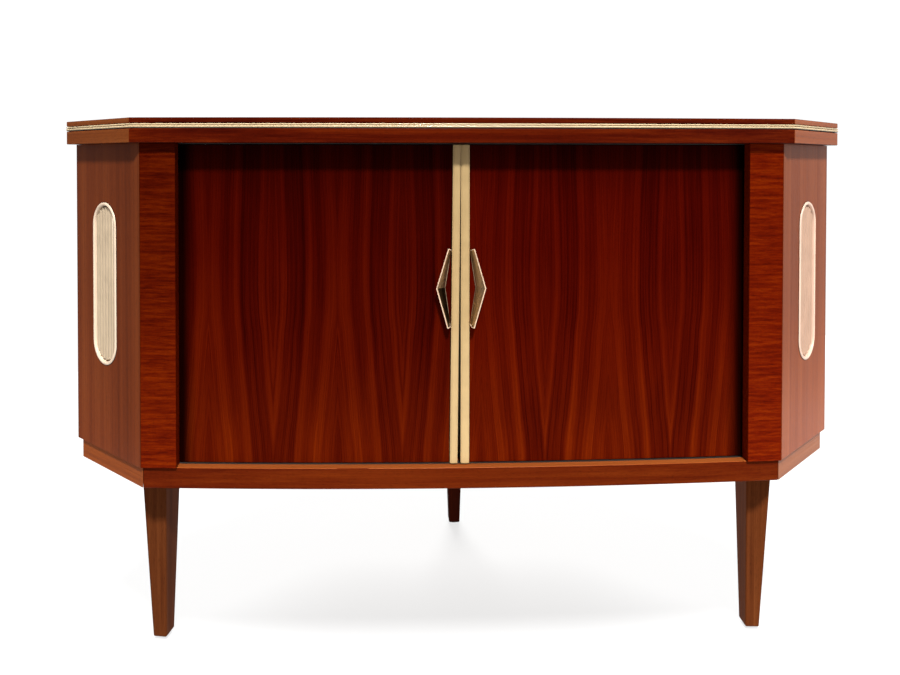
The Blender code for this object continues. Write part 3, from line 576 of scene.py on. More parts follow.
# Painted light: the front rail's top face is given lighter tones, as if lit from above.
LEDGE_PAINTED_LIGHT_TONES = ((0.20, 0.042, 0.007), (0.27, 0.064, 0.012), (0.34, 0.090, 0.018))
# Painted light: the right side panel is given lighter tones than the left, for the light that falls on it.
PANEL_PAINTED_LIGHT_TONES = {
    -1: ((0.075, 0.0133, 0.0026), (0.124, 0.0232, 0.0046), (0.182, 0.041, 0.009)),
    1: ((0.120, 0.0235, 0.0060), (0.190, 0.041, 0.0110), (0.27, 0.070, 0.020)),
}
# Painted light: the right end of the top board is given lighter tones than the left.
END_PAINTED_LIGHT_TONES = {
    -1: ((0.108, 0.0220, 0.0032), (0.172, 0.039, 0.0062), (0.24, 0.066, 0.013)),
    1: ((0.160, 0.034, 0.0080), (0.255, 0.060, 0.0150), (0.36, 0.100, 0.030)),
}
# Painted light: the right side rail is given lighter tones than the left.
EDGE_PAINTED_LIGHT_TONES = {
    -1: ((0.140, 0.0265, 0.0034), (0.224, 0.047, 0.0066), (0.31, 0.078, 0.013)),
    1: ((0.168, 0.045, 0.0140), (0.268, 0.079, 0.0255), (0.38, 0.13, 0.046)),
}
# Painted light and shade: the front right leg is given lighter tones than the front left, and the rear leg,
# under the cabinet, is painted dark.
LEG_PAINTED_LIGHT_TONES = {
    "front_left": ((0.040, 0.0088, 0.0020), (0.077, 0.0185, 0.0044), (0.125, 0.035, 0.009)),
    "front_right": ((0.052, 0.0110, 0.0026), (0.100, 0.0240, 0.0056), (0.160, 0.046, 0.012)),
    "rear": ((0.016, 0.0016, 0.0003), (0.031, 0.0033, 0.0006), (0.050, 0.0065, 0.0012)),
}
FINE_LINE, RAIL_BAND = 0.0022, 0.012
MAPLE_TONES = ((0.30, 0.155, 0.062), (0.44, 0.255, 0.115), (0.56, 0.36, 0.18))

cream = smooth_finish("cream_trim", (0.60, 0.45, 0.26), 0.34, mottle=0.05, size=0.03, coat=0.3)
bezel_cream = {
    hand: smooth_finish(SIDES[hand] + "_bezel_cream", colour, 0.30, mottle=0.06, size=0.03, coat=coat,
                        grime=(0.30, 0.2, 0.1))
    for hand, colour, coat in ((-1, (0.77, 0.59, 0.43), 0.3), (1, (0.76, 0.52, 0.39), 0.2))
}
# The lead strips' cream is given painted light by height: lighter low down, darker at the top.
strip_cream = smooth_finish("strip_cream", (0.44, 0.295, 0.13), 0.36, mottle=0.07, size=0.03, coat=0.2,
                            grime=(0.34, 0.2, 0.08), gain=(SLAT_LOW, SLAT_HIGH, 1.14, 0.84))
reeds = {
    hand: smooth_finish(SIDES[hand] + "_grille_reeds", colour, 0.42, mottle=0.10, size=0.03, grime=grime)
    for hand, colour, grime in ((-1, (0.47, 0.36, 0.24), (0.16, 0.09, 0.04)),
                                (1, (0.46, 0.285, 0.195), (0.15, 0.07, 0.04)))
}
BRUSH = (0.0009, 0.0009, 0.02)
brass = brushed("brass", (0.80, 0.58, 0.36), 0.22, BRUSH)
bright_brass = smooth_finish("bright_brass", (0.86, 0.60, 0.41), 0.32, metal=0.25, mottle=0.05, size=0.01,
                             coat=0.4)
dull_brass = brushed("dull_brass", (0.52, 0.39, 0.27), 0.30, BRUSH)
# Painted reflection: near-black brass for the faces that mirror the dark door.
painted_reflection_brass = brushed("painted_reflection_brass", (0.045, 0.028, 0.016), 0.30, BRUSH)
shadow_black = smooth_finish("shadow_black", (0.006, 0.004, 0.003), 0.9)


def grain_round(piece, name, tones, band, speculars):
    """Gives a board's slanting edges grain that runs along them. tones and speculars are given by side."""
    for hand, side in SIDES.items():
        piece.data.materials.append(wood(side + name, tones[hand], (DIAGONAL, hand * DIAGONAL, 0), (0, 0, 1),
                                         band=band, line=FINE_LINE, specular=speculars[hand]))
    for face in piece.data.polygons:
        if abs(face.normal.x) > 0.5 and abs(face.normal.z) < 0.5:
            face.material_index = 2 if face.normal.x * face.normal.y < 0 else 1


def make_carcase():
    top = wood("top_walnut", TOP_TONES, (1, 0, 0), band=0.010, line=FINE_LINE, contrast=1.2, reach=3.0,
               specular=0.03)
    grain_round(rounded("top_board", top, 0.0012, 3), "_end_walnut", END_PAINTED_LIGHT_TONES, 0.010, {-1: 0.03, 1: 0.1})
    run = {"band": RAIL_BAND, "line": FINE_LINE, "offset": (0.3, 0.2, 0.1)}
    rail = wood("rail_walnut", RAIL_TONES, (1, 0, 0), specular=0.015, **run)
    front = rounded("front_rail", rail, 0.0016, 3)
    # The rail's upward faces get the painted light of the ledge tones.
    front.data.materials.append(wood("ledge_painted_light_walnut", LEDGE_PAINTED_LIGHT_TONES, (1, 0, 0), specular=0.05, **run))
    for face in front.data.polygons:
        if face.normal.z > 0.5:
            face.material_index = 1
    for hand, side in SIDES.items():
        stile = wood(side + "_stile_walnut", STILE_TONES[hand], (1, 0, 0), band=0.0044, line=0.0012,
                     contrast=1.35, reach=22.0, offset=(0.1, 0.4, 0.2 * hand), specular=0.015,
                     gain=(BASE_HIGH, CARCASE_TOP, *STILE_PAINTED_LIGHT_GAIN[hand]))
        rounded(side + "_stile", stile, 0.0008)
        across = (DIAGONAL, hand * DIAGONAL, 0)
        panel = wood(side + "_panel_walnut", PANEL_PAINTED_LIGHT_TONES[hand], (0, 0, 1), across, band=0.016, line=FINE_LINE,
                     contrast=0.9, reach=1.8, offset=(0.2 * hand, 0.3, 0.1), coat=0.02,
                     specular=0.03 if hand < 0 else 0.07, gain=(BASE_HIGH, CARCASE_TOP, *PANEL_PAINTED_LIGHT_GAIN[hand]))
        rounded(side + "_side_panel", panel, 0.0008)
        edge = wood(side + "_rail_walnut", EDGE_PAINTED_LIGHT_TONES[hand], across, (0, 0, 1), band=0.010, line=FINE_LINE,
                    contrast=0.9, offset=(0.1, 0.2 * hand, 0.3), specular=0.03 if hand < 0 else 0.08)
        rounded(side + "_side_rail", edge, 0.0008)
    both = {hand: RAIL_TONES for hand in SIDES}
    grain_round(rounded("rear_rail", rail, 0.0008), "_rear_rail_walnut", both, RAIL_BAND, {-1: 0.03, 1: 0.03})
    glide = brushed("glide_steel", (0.55, 0.54, 0.52), 0.3, (0.002, 0.002, 0.0004))
    for which, tones in LEG_PAINTED_LIGHT_TONES.items():
        leg = wood(which + "_leg_walnut", tones, (0, 0, 1), band=0.014, line=0.002, reach=0.5,
                   rough=(0.5, 0.6), specular=0.02)
        rounded(which + "_leg", leg, 0.0024, 3)
        rounded(which + "_glide", glide, 0.0)


def make_trim():
    """A moulding with a fine bead over a wider one, mitred round the top's front edges."""
    low = HEIGHT - TOP_LIP - TRIM_HIGH
    out = TRIM_PROUD
    profile = [(-0.0028, 0.0002), (-0.0002, 0.0002), (-0.0002, 0.0011)]
    for middle, tall in ((0.00255, 0.0013), (0.00570, 0.0009)):
        for i in range(7):
            angle = math.radians(-80 + 160 * i / 6)
            profile.append((out - tall + tall * math.cos(angle), middle + tall * math.sin(angle)))
        if middle < 0.004:
            profile.append((-0.0018, 0.00430))
    profile += [(-0.0006, TRIM_HIGH - 0.0002), (-0.0028, TRIM_HIGH - 0.0002)]
    columns = []
    steps = 24
    for proud, rise in profile:
        corner = corner_point(-TOP_FRONT_OVERHANG - proud, -TOP_SIDE_OVERHANG - proud)
        end = side_point(SIDE_RUN - GAP, -TOP_SIDE_OVERHANG - proud)
        xs = [-corner.x + 2 * corner.x * i / steps for i in range(steps + 1)]
        front = [(x, front_y(x, -TOP_FRONT_OVERHANG - proud)) for x in xs]
        columns.append([(x, y, low + rise) for x, y in ((-end.x, end.y), *front, (end.x, end.y))])
    loops = [list(section) for section in zip(*columns)]
    mesh = loft("top_trim_moulding", loops)
    new_piece(mesh, cream, node="top_trim", smooth=50)
    mesh.materials.append(shadow_black)
    for face in mesh.polygons:
        if face.center.z < low + 0.0010:
            face.material_index = 1


def lean(hand, z):
    """How far a door's slats have shifted at this height: the left door has sagged, and leans left below."""
    return -SAG * (SLAT_HIGH - z) / (SLAT_HIGH - SLAT_LOW) if hand < 0 else 0.0


def make_lead_strips():
    """Each door's leading edge: a cream strip with a crowned face between two fine rounded lips."""
    for hand, side in SIDES.items():
        near, wide = STRIPS[hand]
        fillet, lip, crown = 0.0007, 0.0015, 0.0009
        front = front_y(near, DOOR_INSET) - LEAD_PROUD
        back = front_y(near + wide, DOOR_INSET) + SLAT_THICK
        section = [(0.0, back)]
        for i in range(5):
            angle = math.radians(180 + 90 * i / 4)
            y = front + crown + fillet * (1 + math.sin(angle))
            section.append((fillet + fillet * math.cos(angle), y))
        section += [(lip, front + crown), (lip + 0.0002, front + crown + 0.0002)]
        for i in range(9):
            x = lip + 0.0003 + (wide - 2 * lip - 0.0006) * i / 8
            section.append((x, front + crown * (2 * x / wide - 1) ** 2))
        section += [(wide - lip - 0.0002, front + crown + 0.0002), (wide - lip, front + crown)]
        for i in range(5):
            angle = math.radians(270 + 90 * i / 4)
            y = front + crown + fillet * (1 + math.sin(angle))
            section.append((wide - fillet + fillet * math.cos(angle), y))
        section.append((wide, back))
        ends = (SLAT_LOW, SLAT_HIGH)
        loops = [[(hand * (near + x) + lean(hand, z), y, z) for x, y in section] for z in ends]
        mesh = loft(side + "_lead_moulding", loops)
        new_piece(mesh, strip_cream, node=side + "_lead_strip", smooth=40)
        mesh.materials.append(shadow_black)
        for face in mesh.polygons:
            if hand * face.normal.x < -0.99:
                face.material_index = 1


def make_handles():
    """A bent brass ribbon: short returns at its ends, straight runs to the bend, and a rolled front edge."""
    for hand, side in SIDES.items():
        edge = sum(STRIPS[hand])
        face = front_y(edge, DOOR_INSET)
        loops = []
        for share in (1.5, 1.0, 0.985, 0.70, 0.35, 0.012, 0.0, -0.012, -0.35, -0.70, -0.985, -1.0, -1.5):
            run = min(1.0, abs(share))
            z = math.copysign(run, share) * HANDLE_HALF
            front = HANDLE_APEX_FRONT + (HANDLE_END_FRONT - HANDLE_APEX_FRONT) * run
            back = HANDLE_APEX_BACK + (HANDLE_END_BACK - HANDLE_APEX_BACK) * run
            if abs(share) > 1.0:
                front, back, z = front - 0.0036, back + 0.0004, 0.962 * z
            shift = lean(hand, HANDLE_Z + z)
            start = Vector((back, -0.0016, HANDLE_Z + z * 0.955))
            end = Vector((front, -HANDLE_DEEP + 0.0008, HANDLE_Z + z * 0.99))
            way = (end - start).normalized()
            out = Vector((1, 0, 0))
            out = (out - way * out.dot(way)).normalized()
            section = []
            thin, bead, small = 0.00045, 0.0009, 0.0005
            for i in range(7):
                angle = math.radians(155 - 310 * i / 6)
                section.append(end + way * (bead * math.cos(angle)) + out * (bead * math.sin(angle)))
            section.append(end - way * 0.0024 - out * thin)
            section.append(start + way * 0.0022 - out * thin)
            for i in range(7):
                angle = math.radians(-155 + 310 * i / 6)
                section.append(start - way * (small * math.cos(angle)) - out * (-small * math.sin(angle)))
            section.append(start + way * 0.0022 + out * thin)
            section.append(end - way * 0.0024 + out * thin)
            loops.append([(hand * (edge + p.x) + shift, face + p.y, p.z) for p in section])
        mesh = loft(side + "_handle_ribbon", loops)
        new_piece(mesh, bright_brass, node=side + "_door_handle", smooth=45)
        for finish in (dull_brass, painted_reflection_brass, brass):
            mesh.materials.append(finish)
        for number, face in enumerate(mesh.polygons):
            place = number % 18
            if place >= 6:
                # Painted reflection: the left handle's lower arm is dark brass on its inner faces.
                dark = hand < 0 and face.center.z < HANDLE_Z and place in (7, 8, 15, 16)
                face.material_index = 2 if dark else 3 if 9 <= place <= 14 else 1


def make_grilles():
    inner = GRILLE_RADIUS - GRILLE_RIM
    half_rim = GRILLE_RIM / 2
    section = [(GRILLE_RADIUS, GAP)]
    for i in range(9):
        angle = math.radians(180 * i / 8)
        radius = GRILLE_RADIUS - half_rim + half_rim * math.cos(angle)
        section.append((radius, 0.0005 + 0.0014 * math.sin(angle)))
    section += [(inner, -0.012), (GRILLE_RADIUS - 0.003, -0.012), (GRILLE_RADIUS - 0.003, GAP)]
    pitch = 2 * (inner - GAP) / FLUTES
    for hand, side in SIDES.items():
        at = side_frame(hand, GRILLE_ALONG, GRILLE_Z)
        loops = [[(x, y, w) for x, y in stadium(r, GRILLE_HALF)] for r, w in section]
        bezel = loft(side + "_grille_bezel", loops, ring=True, matrix=at)
        new_piece(bezel, bezel_cream[hand], node=side + "_grille_frame", smooth=40)
        # Painted shadow: a thin black ring round the bezel, set a little towards the front, where a shadow gap
        # shows.
        line = [[(x - 0.0006, y, w) for x, y in stadium(r, GRILLE_HALF)]
                for r, w in ((GRILLE_RADIUS + 0.0005, -0.0004), (GRILLE_RADIUS + 0.0005, 0.0003),
                             (GRILLE_RADIUS - 0.0010, 0.0003), (GRILLE_RADIUS - 0.0010, -0.0004))]
        shadow_ring = loft(side + "_grille_painted_shadow_ring", line, ring=True, matrix=at)
        new_piece(shadow_ring, shadow_black, body="root")
        columns = []
        for flute in range(FLUTES):
            for i in range(9):
                share = i / 9
                x = -(inner - GAP) + (flute + share) * pitch
                columns.append((x, 0.0028 * math.sin(math.pi * share) ** 0.45))
        columns.append((inner - GAP, 0.0))
        rows = []
        for x, lift in columns:
            reach = GRILLE_HALF - 0.0024 + math.sqrt(max((inner - GAP) ** 2 - x * x, 0.0))
            rows.append([(x, y, w) for y, w in (
                (reach, lift - 0.0038), (-reach, lift - 0.0038), (-reach, -0.0080), (reach, -0.0080))])
        louvre = loft(side + "_grille_reeds", rows, matrix=at)
        new_piece(louvre, reeds[hand], node=side + "_grille_louvre", smooth=60)


def slat_strip(name, path):
    """A grooved wall along path, a list of (outer point, inner point) in plan."""
    return loft(name, [[(*outer, SLAT_LOW), (*outer, SLAT_HIGH), (*inner, SLAT_HIGH), (*inner, SLAT_LOW)]
                       for outer, inner in path])


SLAT_PITCH, GROOVE_HALF, GROOVE_DEEP = 0.0085, 0.00035, 0.00022
RIGID_SLATS, STRIP_GAP = 3, 0.0010


def make_curtain(hand, side, veneer):
    """The slats across the front. The first few ride with the door; the rest stay with the cabinet, on a mesh
    of their own.
    """
    start = sum(STRIPS[hand]) + STRIP_GAP
    count = round((TURN_X - start) / SLAT_PITCH)
    pitch = (TURN_X - start) / count
    groove = ((-GROOVE_HALF, 0.0), (0.0, GROOVE_DEEP), (GROOVE_HALF, 0.0))
    path = []
    for i in range(count + 1):
        for shift, depth in ((0.0, 0.0),) if i in (0, count) else groove:
            x = start + i * pitch + shift
            outer, inner = (front_y(x, DOOR_INSET + behind) for behind in (depth, SLAT_THICK))
            path.append(((hand * x, outer), (hand * x, inner)))
    split = len(groove) * RIGID_SLATS - 1
    parts = (("_door_slats", path[split:], "root"), ("_lead_slats", path[:split + 1], side + "_door"))
    pieces = []
    for name, part, body in parts:
        mesh = slat_strip(side + name, part)
        for vert in mesh.vertices:
            vert.co.x += lean(hand, vert.co.z) * (TURN_X - abs(vert.co.x)) / (TURN_X - start)
        pieces.append(new_piece(mesh, veneer, body=body, smooth=25))
    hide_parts(side + "_door_curtain")
    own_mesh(pieces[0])


def make_turn_slats(hand, side, veneer):
    """The slats that bend round the corner behind the stile, up to the tail on the inner run."""
    first, last = TURN_TILT - math.pi / 2, RUN_ANGLE
    radii = (TURN_RADIUS + SLAT_THICK / 2, TURN_RADIUS - SLAT_THICK / 2)
    bend = []
    for i in range(13):
        angle = first + 0.0006 + (last - first) * i / 12
        bend.append([TURN_CENTRE + r * Vector((math.cos(angle), math.sin(angle))) for r in radii])
    for along in (0.002, TAIL_FROM - 0.002):
        bend.append([TURN_CENTRE + along * RUN_WAY + r * RUN_NORMAL for r in radii])
    mesh = slat_strip(side + "_turn_slats", [[(hand * p.x, p.y) for p in pair] for pair in bend])
    new_piece(mesh, veneer, body="root", smooth=25)


def make_doors():
    for hand, side in SIDES.items():
        veneer = door_figure(side + "_door_walnut", hand)
        make_curtain(hand, side, veneer)
        make_turn_slats(hand, side, veneer)
        rounded(side + "_tail_slats", veneer, 0.0004)


make_carcase()
make_trim()
make_lead_strips()
make_handles()
make_grilles()
make_doors()

# ---- back, inside, deck and radio ----


def make_glue_blocks(finish):
    """Triangular blocks glued into the two corners where the back panels meet the rear panel."""
    low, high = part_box("rear_panel")
    inner = low[1] - 0.0004
    for hand, side in SIDES.items():
        corner = hand * (high[0] + 0.0054)
        section = [(corner, inner), (corner - hand * 0.016, inner), (corner + hand * 0.0115, inner - 0.0115)]
        loops = [[(x, y, z) for x, y in section] for z in (BASE_HIGH + 0.001, CARCASE_TOP - 0.001)]
        new_piece(loft(side + "_glue_block", loops), finish, body="root")


board = hardboard_finish()
maple = wood("maple_lining", MAPLE_TONES, (0, 0, 1), band=0.035, line=0.004, contrast=0.6, coat=0.1)
shelf_maple = wood("shelf_maple", MAPLE_TONES, (1, 0, 0), band=0.035, line=0.004, contrast=0.6, coat=0.1)
black = smooth_finish("black_metal", (0.022, 0.022, 0.022), 0.45)
moulded = smooth_finish("black_plastic", (0.018, 0.016, 0.015), 0.38)
ivory = smooth_finish("ivory_plastic", (0.70, 0.55, 0.34), 0.28, mottle=0.06, coat=0.4,
                      grime=(0.4, 0.28, 0.14))
enamel = smooth_finish("deck_enamel", (0.50, 0.40, 0.26), 0.32, mottle=0.05, coat=0.3)
chassis = smooth_finish("chassis_steel", (0.35, 0.34, 0.31), 0.42, metal=1.0)
steel = brushed("steel", (0.62, 0.61, 0.60), 0.28, (0.01, 0.01, 0.0006))
rubber = smooth_finish("rubber", (0.020, 0.019, 0.018), 0.75)
fascia = wood("fascia_walnut", PANEL_PAINTED_LIGHT_TONES[-1], (1, 0, 0), (0, 0, 1), band=0.014, line=FINE_LINE, coat=0.2)
card = dial_finish()
make_glue_blocks(maple)

for node, finish, ease in (
    ("left_back_panel", board, 0.0), ("right_back_panel", board, 0.0), ("rear_panel", board, 0.0),
    ("floor_panel", shelf_maple, 0.0004), ("left_partition", maple, 0.0005),
    ("right_partition", maple, 0.0005), ("centre_divider", maple, 0.0008),
    ("deck_shelf", shelf_maple, 0.0006), ("radio_shelf", shelf_maple, 0.0006),
    ("record_divider", maple, 0.0006), ("lower_track", black, 0.0), ("upper_track", black, 0.0),
    ("left_speaker", black, 0.0), ("right_speaker", black, 0.0), ("power_inlet", moulded, 0.0003),
    ("deck_plate", enamel, 0.0012), ("arm_rest", steel, 0.0), ("tonearm_pivot", ivory, 0.0005),
    ("tonearm", ivory, 0.0006), ("speed_selector", ivory, 0.0004), ("push_key_1", ivory, 0.0010),
    ("push_key_2", ivory, 0.0010), ("push_key_3", ivory, 0.0010), ("dial_scale", card, 0.0004),
    ("dial_glass", glass_finish(), 0.0002), ("radio_chassis", chassis, 0.001),
    ("dial_pointer", brass, 0.0), ("radio_fascia", fascia, 0.0010),
):
    rounded(node, finish, ease)


def make_turntable():
    """The platter with a rolled rim, and its mat with concentric ribs and a raised ring round the label."""
    hub = Matrix.Translation((SPINDLE[0], FRONT_Y + SPINDLE[1], DECK_TOP))
    top, edge, pin = PLATTER_Z, PLATTER_RADIUS, 0.0036
    profile = [(0, top + 0.0160), (0.0014, top + 0.0159), (0.0022, top + 0.0155), (pin, top + 0.012),
               (pin, top)]
    for i in range(5):
        angle = math.radians(90 - 90 * i / 4)
        profile.append((edge - 0.002 + 0.002 * math.cos(angle), top - 0.002 + 0.002 * math.sin(angle)))
    profile += [(edge - 0.0004, 0.011), (edge - 0.0014, 0.0102), (edge - 0.0004, 0.0094),
                (edge - 0.002, 0.004), (0.022, 0.004), (0.022, GAP), (0, GAP)]
    new_piece(lathe("platter_turned", profile, hub, 96), steel, node="platter", smooth=30)
    low, high, rim = top + GAP, top + 0.0033, edge - 0.005
    profile = [(0.006, low), (0.006, high - 0.0006), (0.0068, high), (0.047, high), (0.0476, high - 0.0012)]
    rib, pitch = ((0.0, 0.0012), (0.0007, 0.0001), (0.0021, 0.0001), (0.0028, 0.0012)), 0.0046
    r = 0.0500
    while r < rim - 0.006:
        profile += [(r + out, high - drop) for out, drop in rib]
        r += pitch
    profile += [(rim - 0.005, high), (rim - 0.0007, high), (rim, high - 0.0008), (rim, low)]
    new_piece(lathe("mat_ribbed", profile, hub, 96), rubber, node="platter_mat", smooth=30)


def make_knobs():
    """Two knobs with a fluted skirt and a brass cap in the middle of the face."""
    for node, x in (("tuning_knob", TUNING_X), ("volume_knob", VOLUME_X)):
        at = facing(x, FRONT_Y + BAY_FRONT, CONTROL_Z)
        profile = [(0, 0.0186), (0.0084, 0.0186), (0.0090, 0.0192), (0.0092, 0.0200), (0.0140, 0.0200),
                   (0.0158, 0.0192), (0.0165, 0.0176), (0.0178, 0.0100), (0.0190, 0.0042), (0.0203, 0.0032),
                   (0.0205, 0.0022), (0.0205, 0.0008), (0.0042, 0.0008), (0.0042, -0.0220), (0, -0.0220)]

        def flute(angle, radius, height):
            on_skirt = 0.0035 < height < 0.0190 < radius * 2
            return 1.0 - 0.035 * (0.5 + 0.5 * math.cos(24 * angle)) if on_skirt else 1.0

        new_piece(lathe(node + "_fluted", profile, at, 144, flute), ivory, node=node, smooth=40)
        cap = [(0, 0.0199), (0.0040, 0.0197), (0.0074, 0.0192), (0.0080, 0.0186), (0.0080, 0.0180),
               (0, 0.0180)]
        new_piece(lathe(node + "_cap", cap, at, 48), brass, body=NODES[node]["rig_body"])


def bars_mesh(name, bars, place):
    """Thin raised blocks of ink, one for each (x0, y0, x1, y1)."""
    bm = bmesh.new()
    for x0, y0, x1, y1 in bars:
        corners = ((x0, y0), (x1, y0), (x1, y1), (x0, y1))
        verts = [bm.verts.new((x, y, w)) for w in (0.00002, 0.00012) for x, y in corners]
        for quad in ((3, 2, 1, 0), (4, 5, 6, 7), (0, 1, 5, 4), (1, 2, 6, 5), (2, 3, 7, 6), (3, 0, 4, 7)):
            bm.faces.new([verts[i] for i in quad])
    bm.transform(place)
    return to_mesh(name, bm)


def make_dial_marks():
    """Printed scales on the dial card: a long rule, ticks and plain numbers for each of three bands."""
    ink = smooth_finish("dial_ink", (0.75, 0.62, 0.38), 0.5, mottle=0.05)
    dark = smooth_finish("dial_dark_ink", (0.05, 0.025, 0.012), 0.5, mottle=0.05)
    x, z, wide = DIAL[:3]
    place = facing(x, FRONT_Y + BAY_FRONT + 0.0100 + GAP, z)
    half = wide / 2 - 0.014
    scales = (
        ("dial_ticks", (0.024, 0.010), 60, (10, 5), (0.0036, 0.0024, 0.0014), ink),
        ("dial_lower_ticks", (-0.008, -0.026), 30, (5, 5), (0.0036, 0.0018, 0.0018), dark),
    )
    for name, rules, count, (long_step, middle_step), (long, middle, short), finish in scales:
        bars = []
        for row in rules:
            bars.append((-half, row - 0.0003, half, row + 0.0003))
            for i in range(count + 1):
                at = -half + 2 * half * i / count
                tall = long if i % long_step == 0 else middle if i % middle_step == 0 else short
                bars.append((at - 0.0002, row, at + 0.0002, row + tall))
        new_piece(bars_mesh(name, bars, place), finish, body="root")
    rows = (
        (0.0165, ("55", "60", "70", "80", "100", "130", "160"), ink),
        (0.0025, ("6", "7", "9", "11", "13", "15", "18"), ink),
        (-0.0175, ("88", "92", "96", "100", "104", "106", "108"), dark),
        (-0.0345, ("0", "10", "20", "30", "40", "50", "60"), dark),
    )
    for number, (row, labels, finish) in enumerate(rows):
        for i, label in enumerate(labels):
            curve = bpy.data.curves.new(f"dial_number_{number}_{i}", "FONT")
            curve.body, curve.size, curve.align_x, curve.extrude = label, 0.0062, "CENTER", 0.00005
            writing = bpy.data.objects.new(curve.name, curve)
            link(writing)
            mesh = bpy.data.meshes.new_from_object(writing)
            bpy.data.objects.remove(writing)
            mesh.transform(place @ Matrix.Translation((-half + 2 * half * i / 6, row, 0.00007)))
            mesh.name = curve.name
            new_piece(mesh, finish, body="root")


SCREW_RADIUS, SCREW_INSET = 0.0032, 0.014


def screw_head(name, at):
    """A domed slotted screw, whose axis is the local Z of at."""
    steps = 16
    rings = []
    for share in (1.0, 0.9, 0.6):
        r = SCREW_RADIUS * share
        lift = 0.0016 * math.sqrt(1 - share * share) + 0.0002
        turns = [2 * math.pi * i / steps for i in range(steps)]
        rings.append([(r * math.cos(turn), r * math.sin(turn), lift) for turn in turns])
    foot = [(x, y, -0.0008) for x, y, z in rings[0]]
    crown = [(0.25 * x, 0.25 * y, 0.0018) for x, y, z in rings[0]]
    new_piece(loft(name, [foot, *rings, crown], matrix=at), steel, body="root")
    w, d = SCREW_RADIUS * 0.8, SCREW_RADIUS * 0.13
    slot = [[(-w, -d, z), (w, -d, z), (w, d, z), (-w, d, z)] for z in (0.0010, 0.00205)]
    new_piece(loft(name + "_slot", slot, matrix=at), shadow_black, body="root")


def make_screws():
    levels = (BASE_HIGH + SCREW_INSET, CARCASE_TOP - SCREW_INSET)
    plate = Matrix.Translation((0, 0, DECK_TOP))
    for i, (x, depth) in enumerate(((-0.030, 0.108), (-0.372, 0.108), (-0.030, 0.452), (-0.240, 0.452))):
        screw_head(f"deck_screw_{i}", plate @ Matrix.Translation((x, FRONT_Y + depth, 0)))
    for hand, side in SIDES.items():
        panel = NODES[side + "_back_panel"]
        corners = [panel.matrix_world @ Vector(c) for c in panel.bound_box]
        ends = [Vector((hand * min(abs(c.x) for c in corners), max(c.y for c in corners), 0)),
                Vector((hand * max(abs(c.x) for c in corners), min(c.y for c in corners), 0))]
        outward, sideways = Vector((hand * DIAGONAL, DIAGONAL, 0)), (-hand * DIAGONAL, DIAGONAL, 0)
        for i, share in enumerate((0.05, 0.35, 0.65, 0.95)):
            at = ends[0].lerp(ends[1], share)
            at += outward * (max(v.co.dot(outward) for v in panel.data.vertices) - at.dot(outward))
            for j, z in enumerate(levels):
                place = placed((at.x, at.y, z), sideways, (0, 0, 1), outward)
                screw_head(f"{side}_back_screw_{i}_{j}", place)
    rear = NODES["rear_panel"]
    deep = max(v.co.y for v in rear.data.vertices)
    half = max(v.co.x for v in rear.data.vertices) - 0.012
    for i, x in enumerate((-half, 0.0, half)):
        for j, z in enumerate(levels):
            screw_head(f"rear_screw_{i}_{j}", placed((x, deep, z), (-1, 0, 0), (0, 0, 1), (0, 1, 0)))


def make_inlet_pins():
    for i, x in enumerate((-0.0035, 0.0035)):
        base = max(v.co.y for v in NODES["power_inlet"].data.vertices)
        at = Matrix.Translation((INLET[0] + x, base, INLET[1])) @ Matrix.Rotation(-math.pi / 2, 4, "X")
        pin = [(0, 0.0002), (0.0010, 0.0), (0.0012, -0.0004), (0.0012, -0.004), (0, -0.004)]
        new_piece(lathe(f"inlet_pin_{i}", pin, at, 16), brass, body="root")


make_turntable()
make_knobs()
make_dial_marks()
make_screws()
make_inlet_pins()

# ---- stage ----

FLOOR = ((-1.2, -2.4), (1.75, -2.4), (1.75, 3.0), (-1.2, 3.0))
FLOOR_GREY, FLOOR_GLOW, BACKDROP_WHITE = 0.10, 0.76, 1.05
ROOM_ACROSS = ((0.0, 0.42), (0.25, 0.28), (0.42, 0.07), (0.625, 0.05), (0.80, 0.70))
ROOM_ABOVE = ((0.25, 0.0), (0.60, 0.30))
ORIGIN = (0, 0, 0)


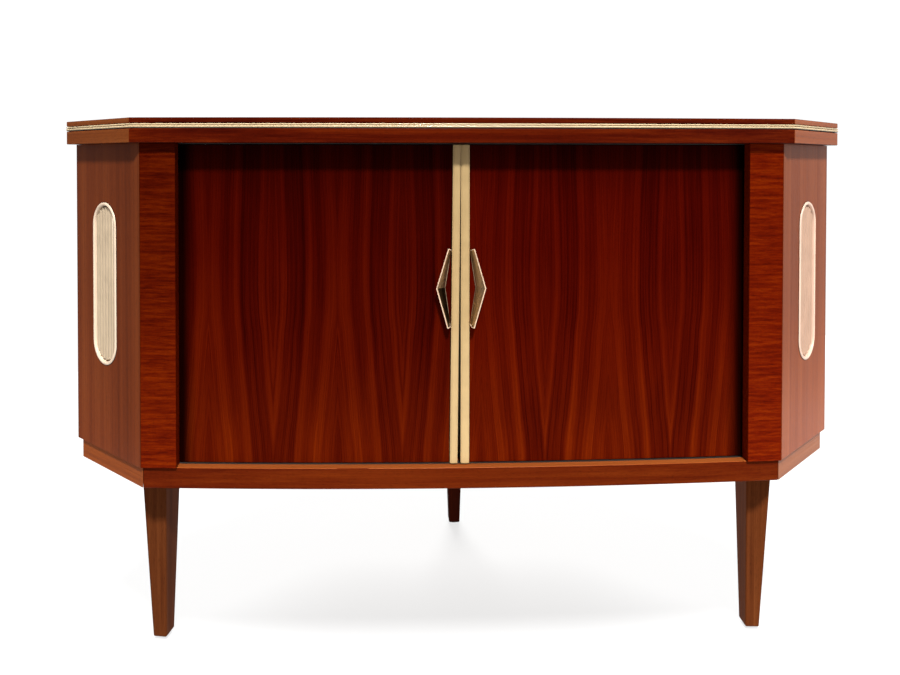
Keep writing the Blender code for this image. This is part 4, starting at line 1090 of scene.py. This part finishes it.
def make_stage():
    mesh = bpy.data.meshes.new("floor")
    mesh.from_pydata([(x, y, 0.0) for x, y in FLOOR], [], [(0, 1, 2, 3)])
    floor = bpy.data.objects.new("floor", mesh)
    link(floor)
    material, tree, shader = start_material("floor_white")
    set_shader(tree, shader, (FLOOR_GREY, FLOOR_GREY, FLOOR_GREY, 1), 0.95, Specular_IOR_Level=0.1,
               Emission_Color=(1, 1, 1, 1), Emission_Strength=FLOOR_GLOW)
    floor.data.materials.append(material)
    world = bpy.data.worlds.new("studio")
    bpy.context.scene.world = world
    world.use_nodes = True
    tree = world.node_tree
    tree.nodes.clear()
    way = calc(tree, "MULTIPLY_ADD", add(tree, "SeparateXYZ", {0: add(tree, "TexCoord")}), 0.5, 0.5)
    up = add(tree, "SeparateXYZ", {0: add(tree, "TexCoord")}, out=2)
    room = blend_colours(tree, 1.0, ramp(tree, way, ROOM_ACROSS), ramp(tree, up, ROOM_ABOVE), "ADD")
    soft = add(tree, "Background", {"Color": room, "Strength": 1.0})
    white = add(tree, "Background", {"Color": (1, 1, 1, 1), "Strength": BACKDROP_WHITE})
    both = add(tree, "MixShader", {0: add(tree, "LightPath"), 1: soft, 2: white})
    tree.links.new(both, tree.nodes.new("ShaderNodeOutputWorld").inputs[0])
    key = make_light("key", "SUN", 5.2, (0.3, -3.0, 3.45), ORIGIN, angle=math.radians(6))
    fill = make_light("rear_fill", "AREA", 40, (-1.2, 2.8, 1.6), (0, 0, 0.4), size=2.0)
    overhead = make_light("floor_overhead", "SUN", 8.5, (0.02, -0.38, 1.0), ORIGIN, angle=math.radians(14))
    low = make_light("floor_rear", "SUN", 8.0, (0.0, 1.25, 1.0), ORIGIN, angle=math.radians(26))
    ground = bpy.data.collections.new("ground")
    ground.objects.link(floor)
    pieces = bpy.data.collections.new("lit_pieces")
    for piece in bpy.context.scene.objects:
        if piece.type == "MESH" and piece is not floor:
            pieces.objects.link(piece)
    for light, receivers in ((key, pieces), (fill, pieces), (overhead, ground), (low, ground)):
        light.light_linking.receiver_collection = receivers
    bpy.context.scene.view_settings.view_transform = "Standard"


make_stage()
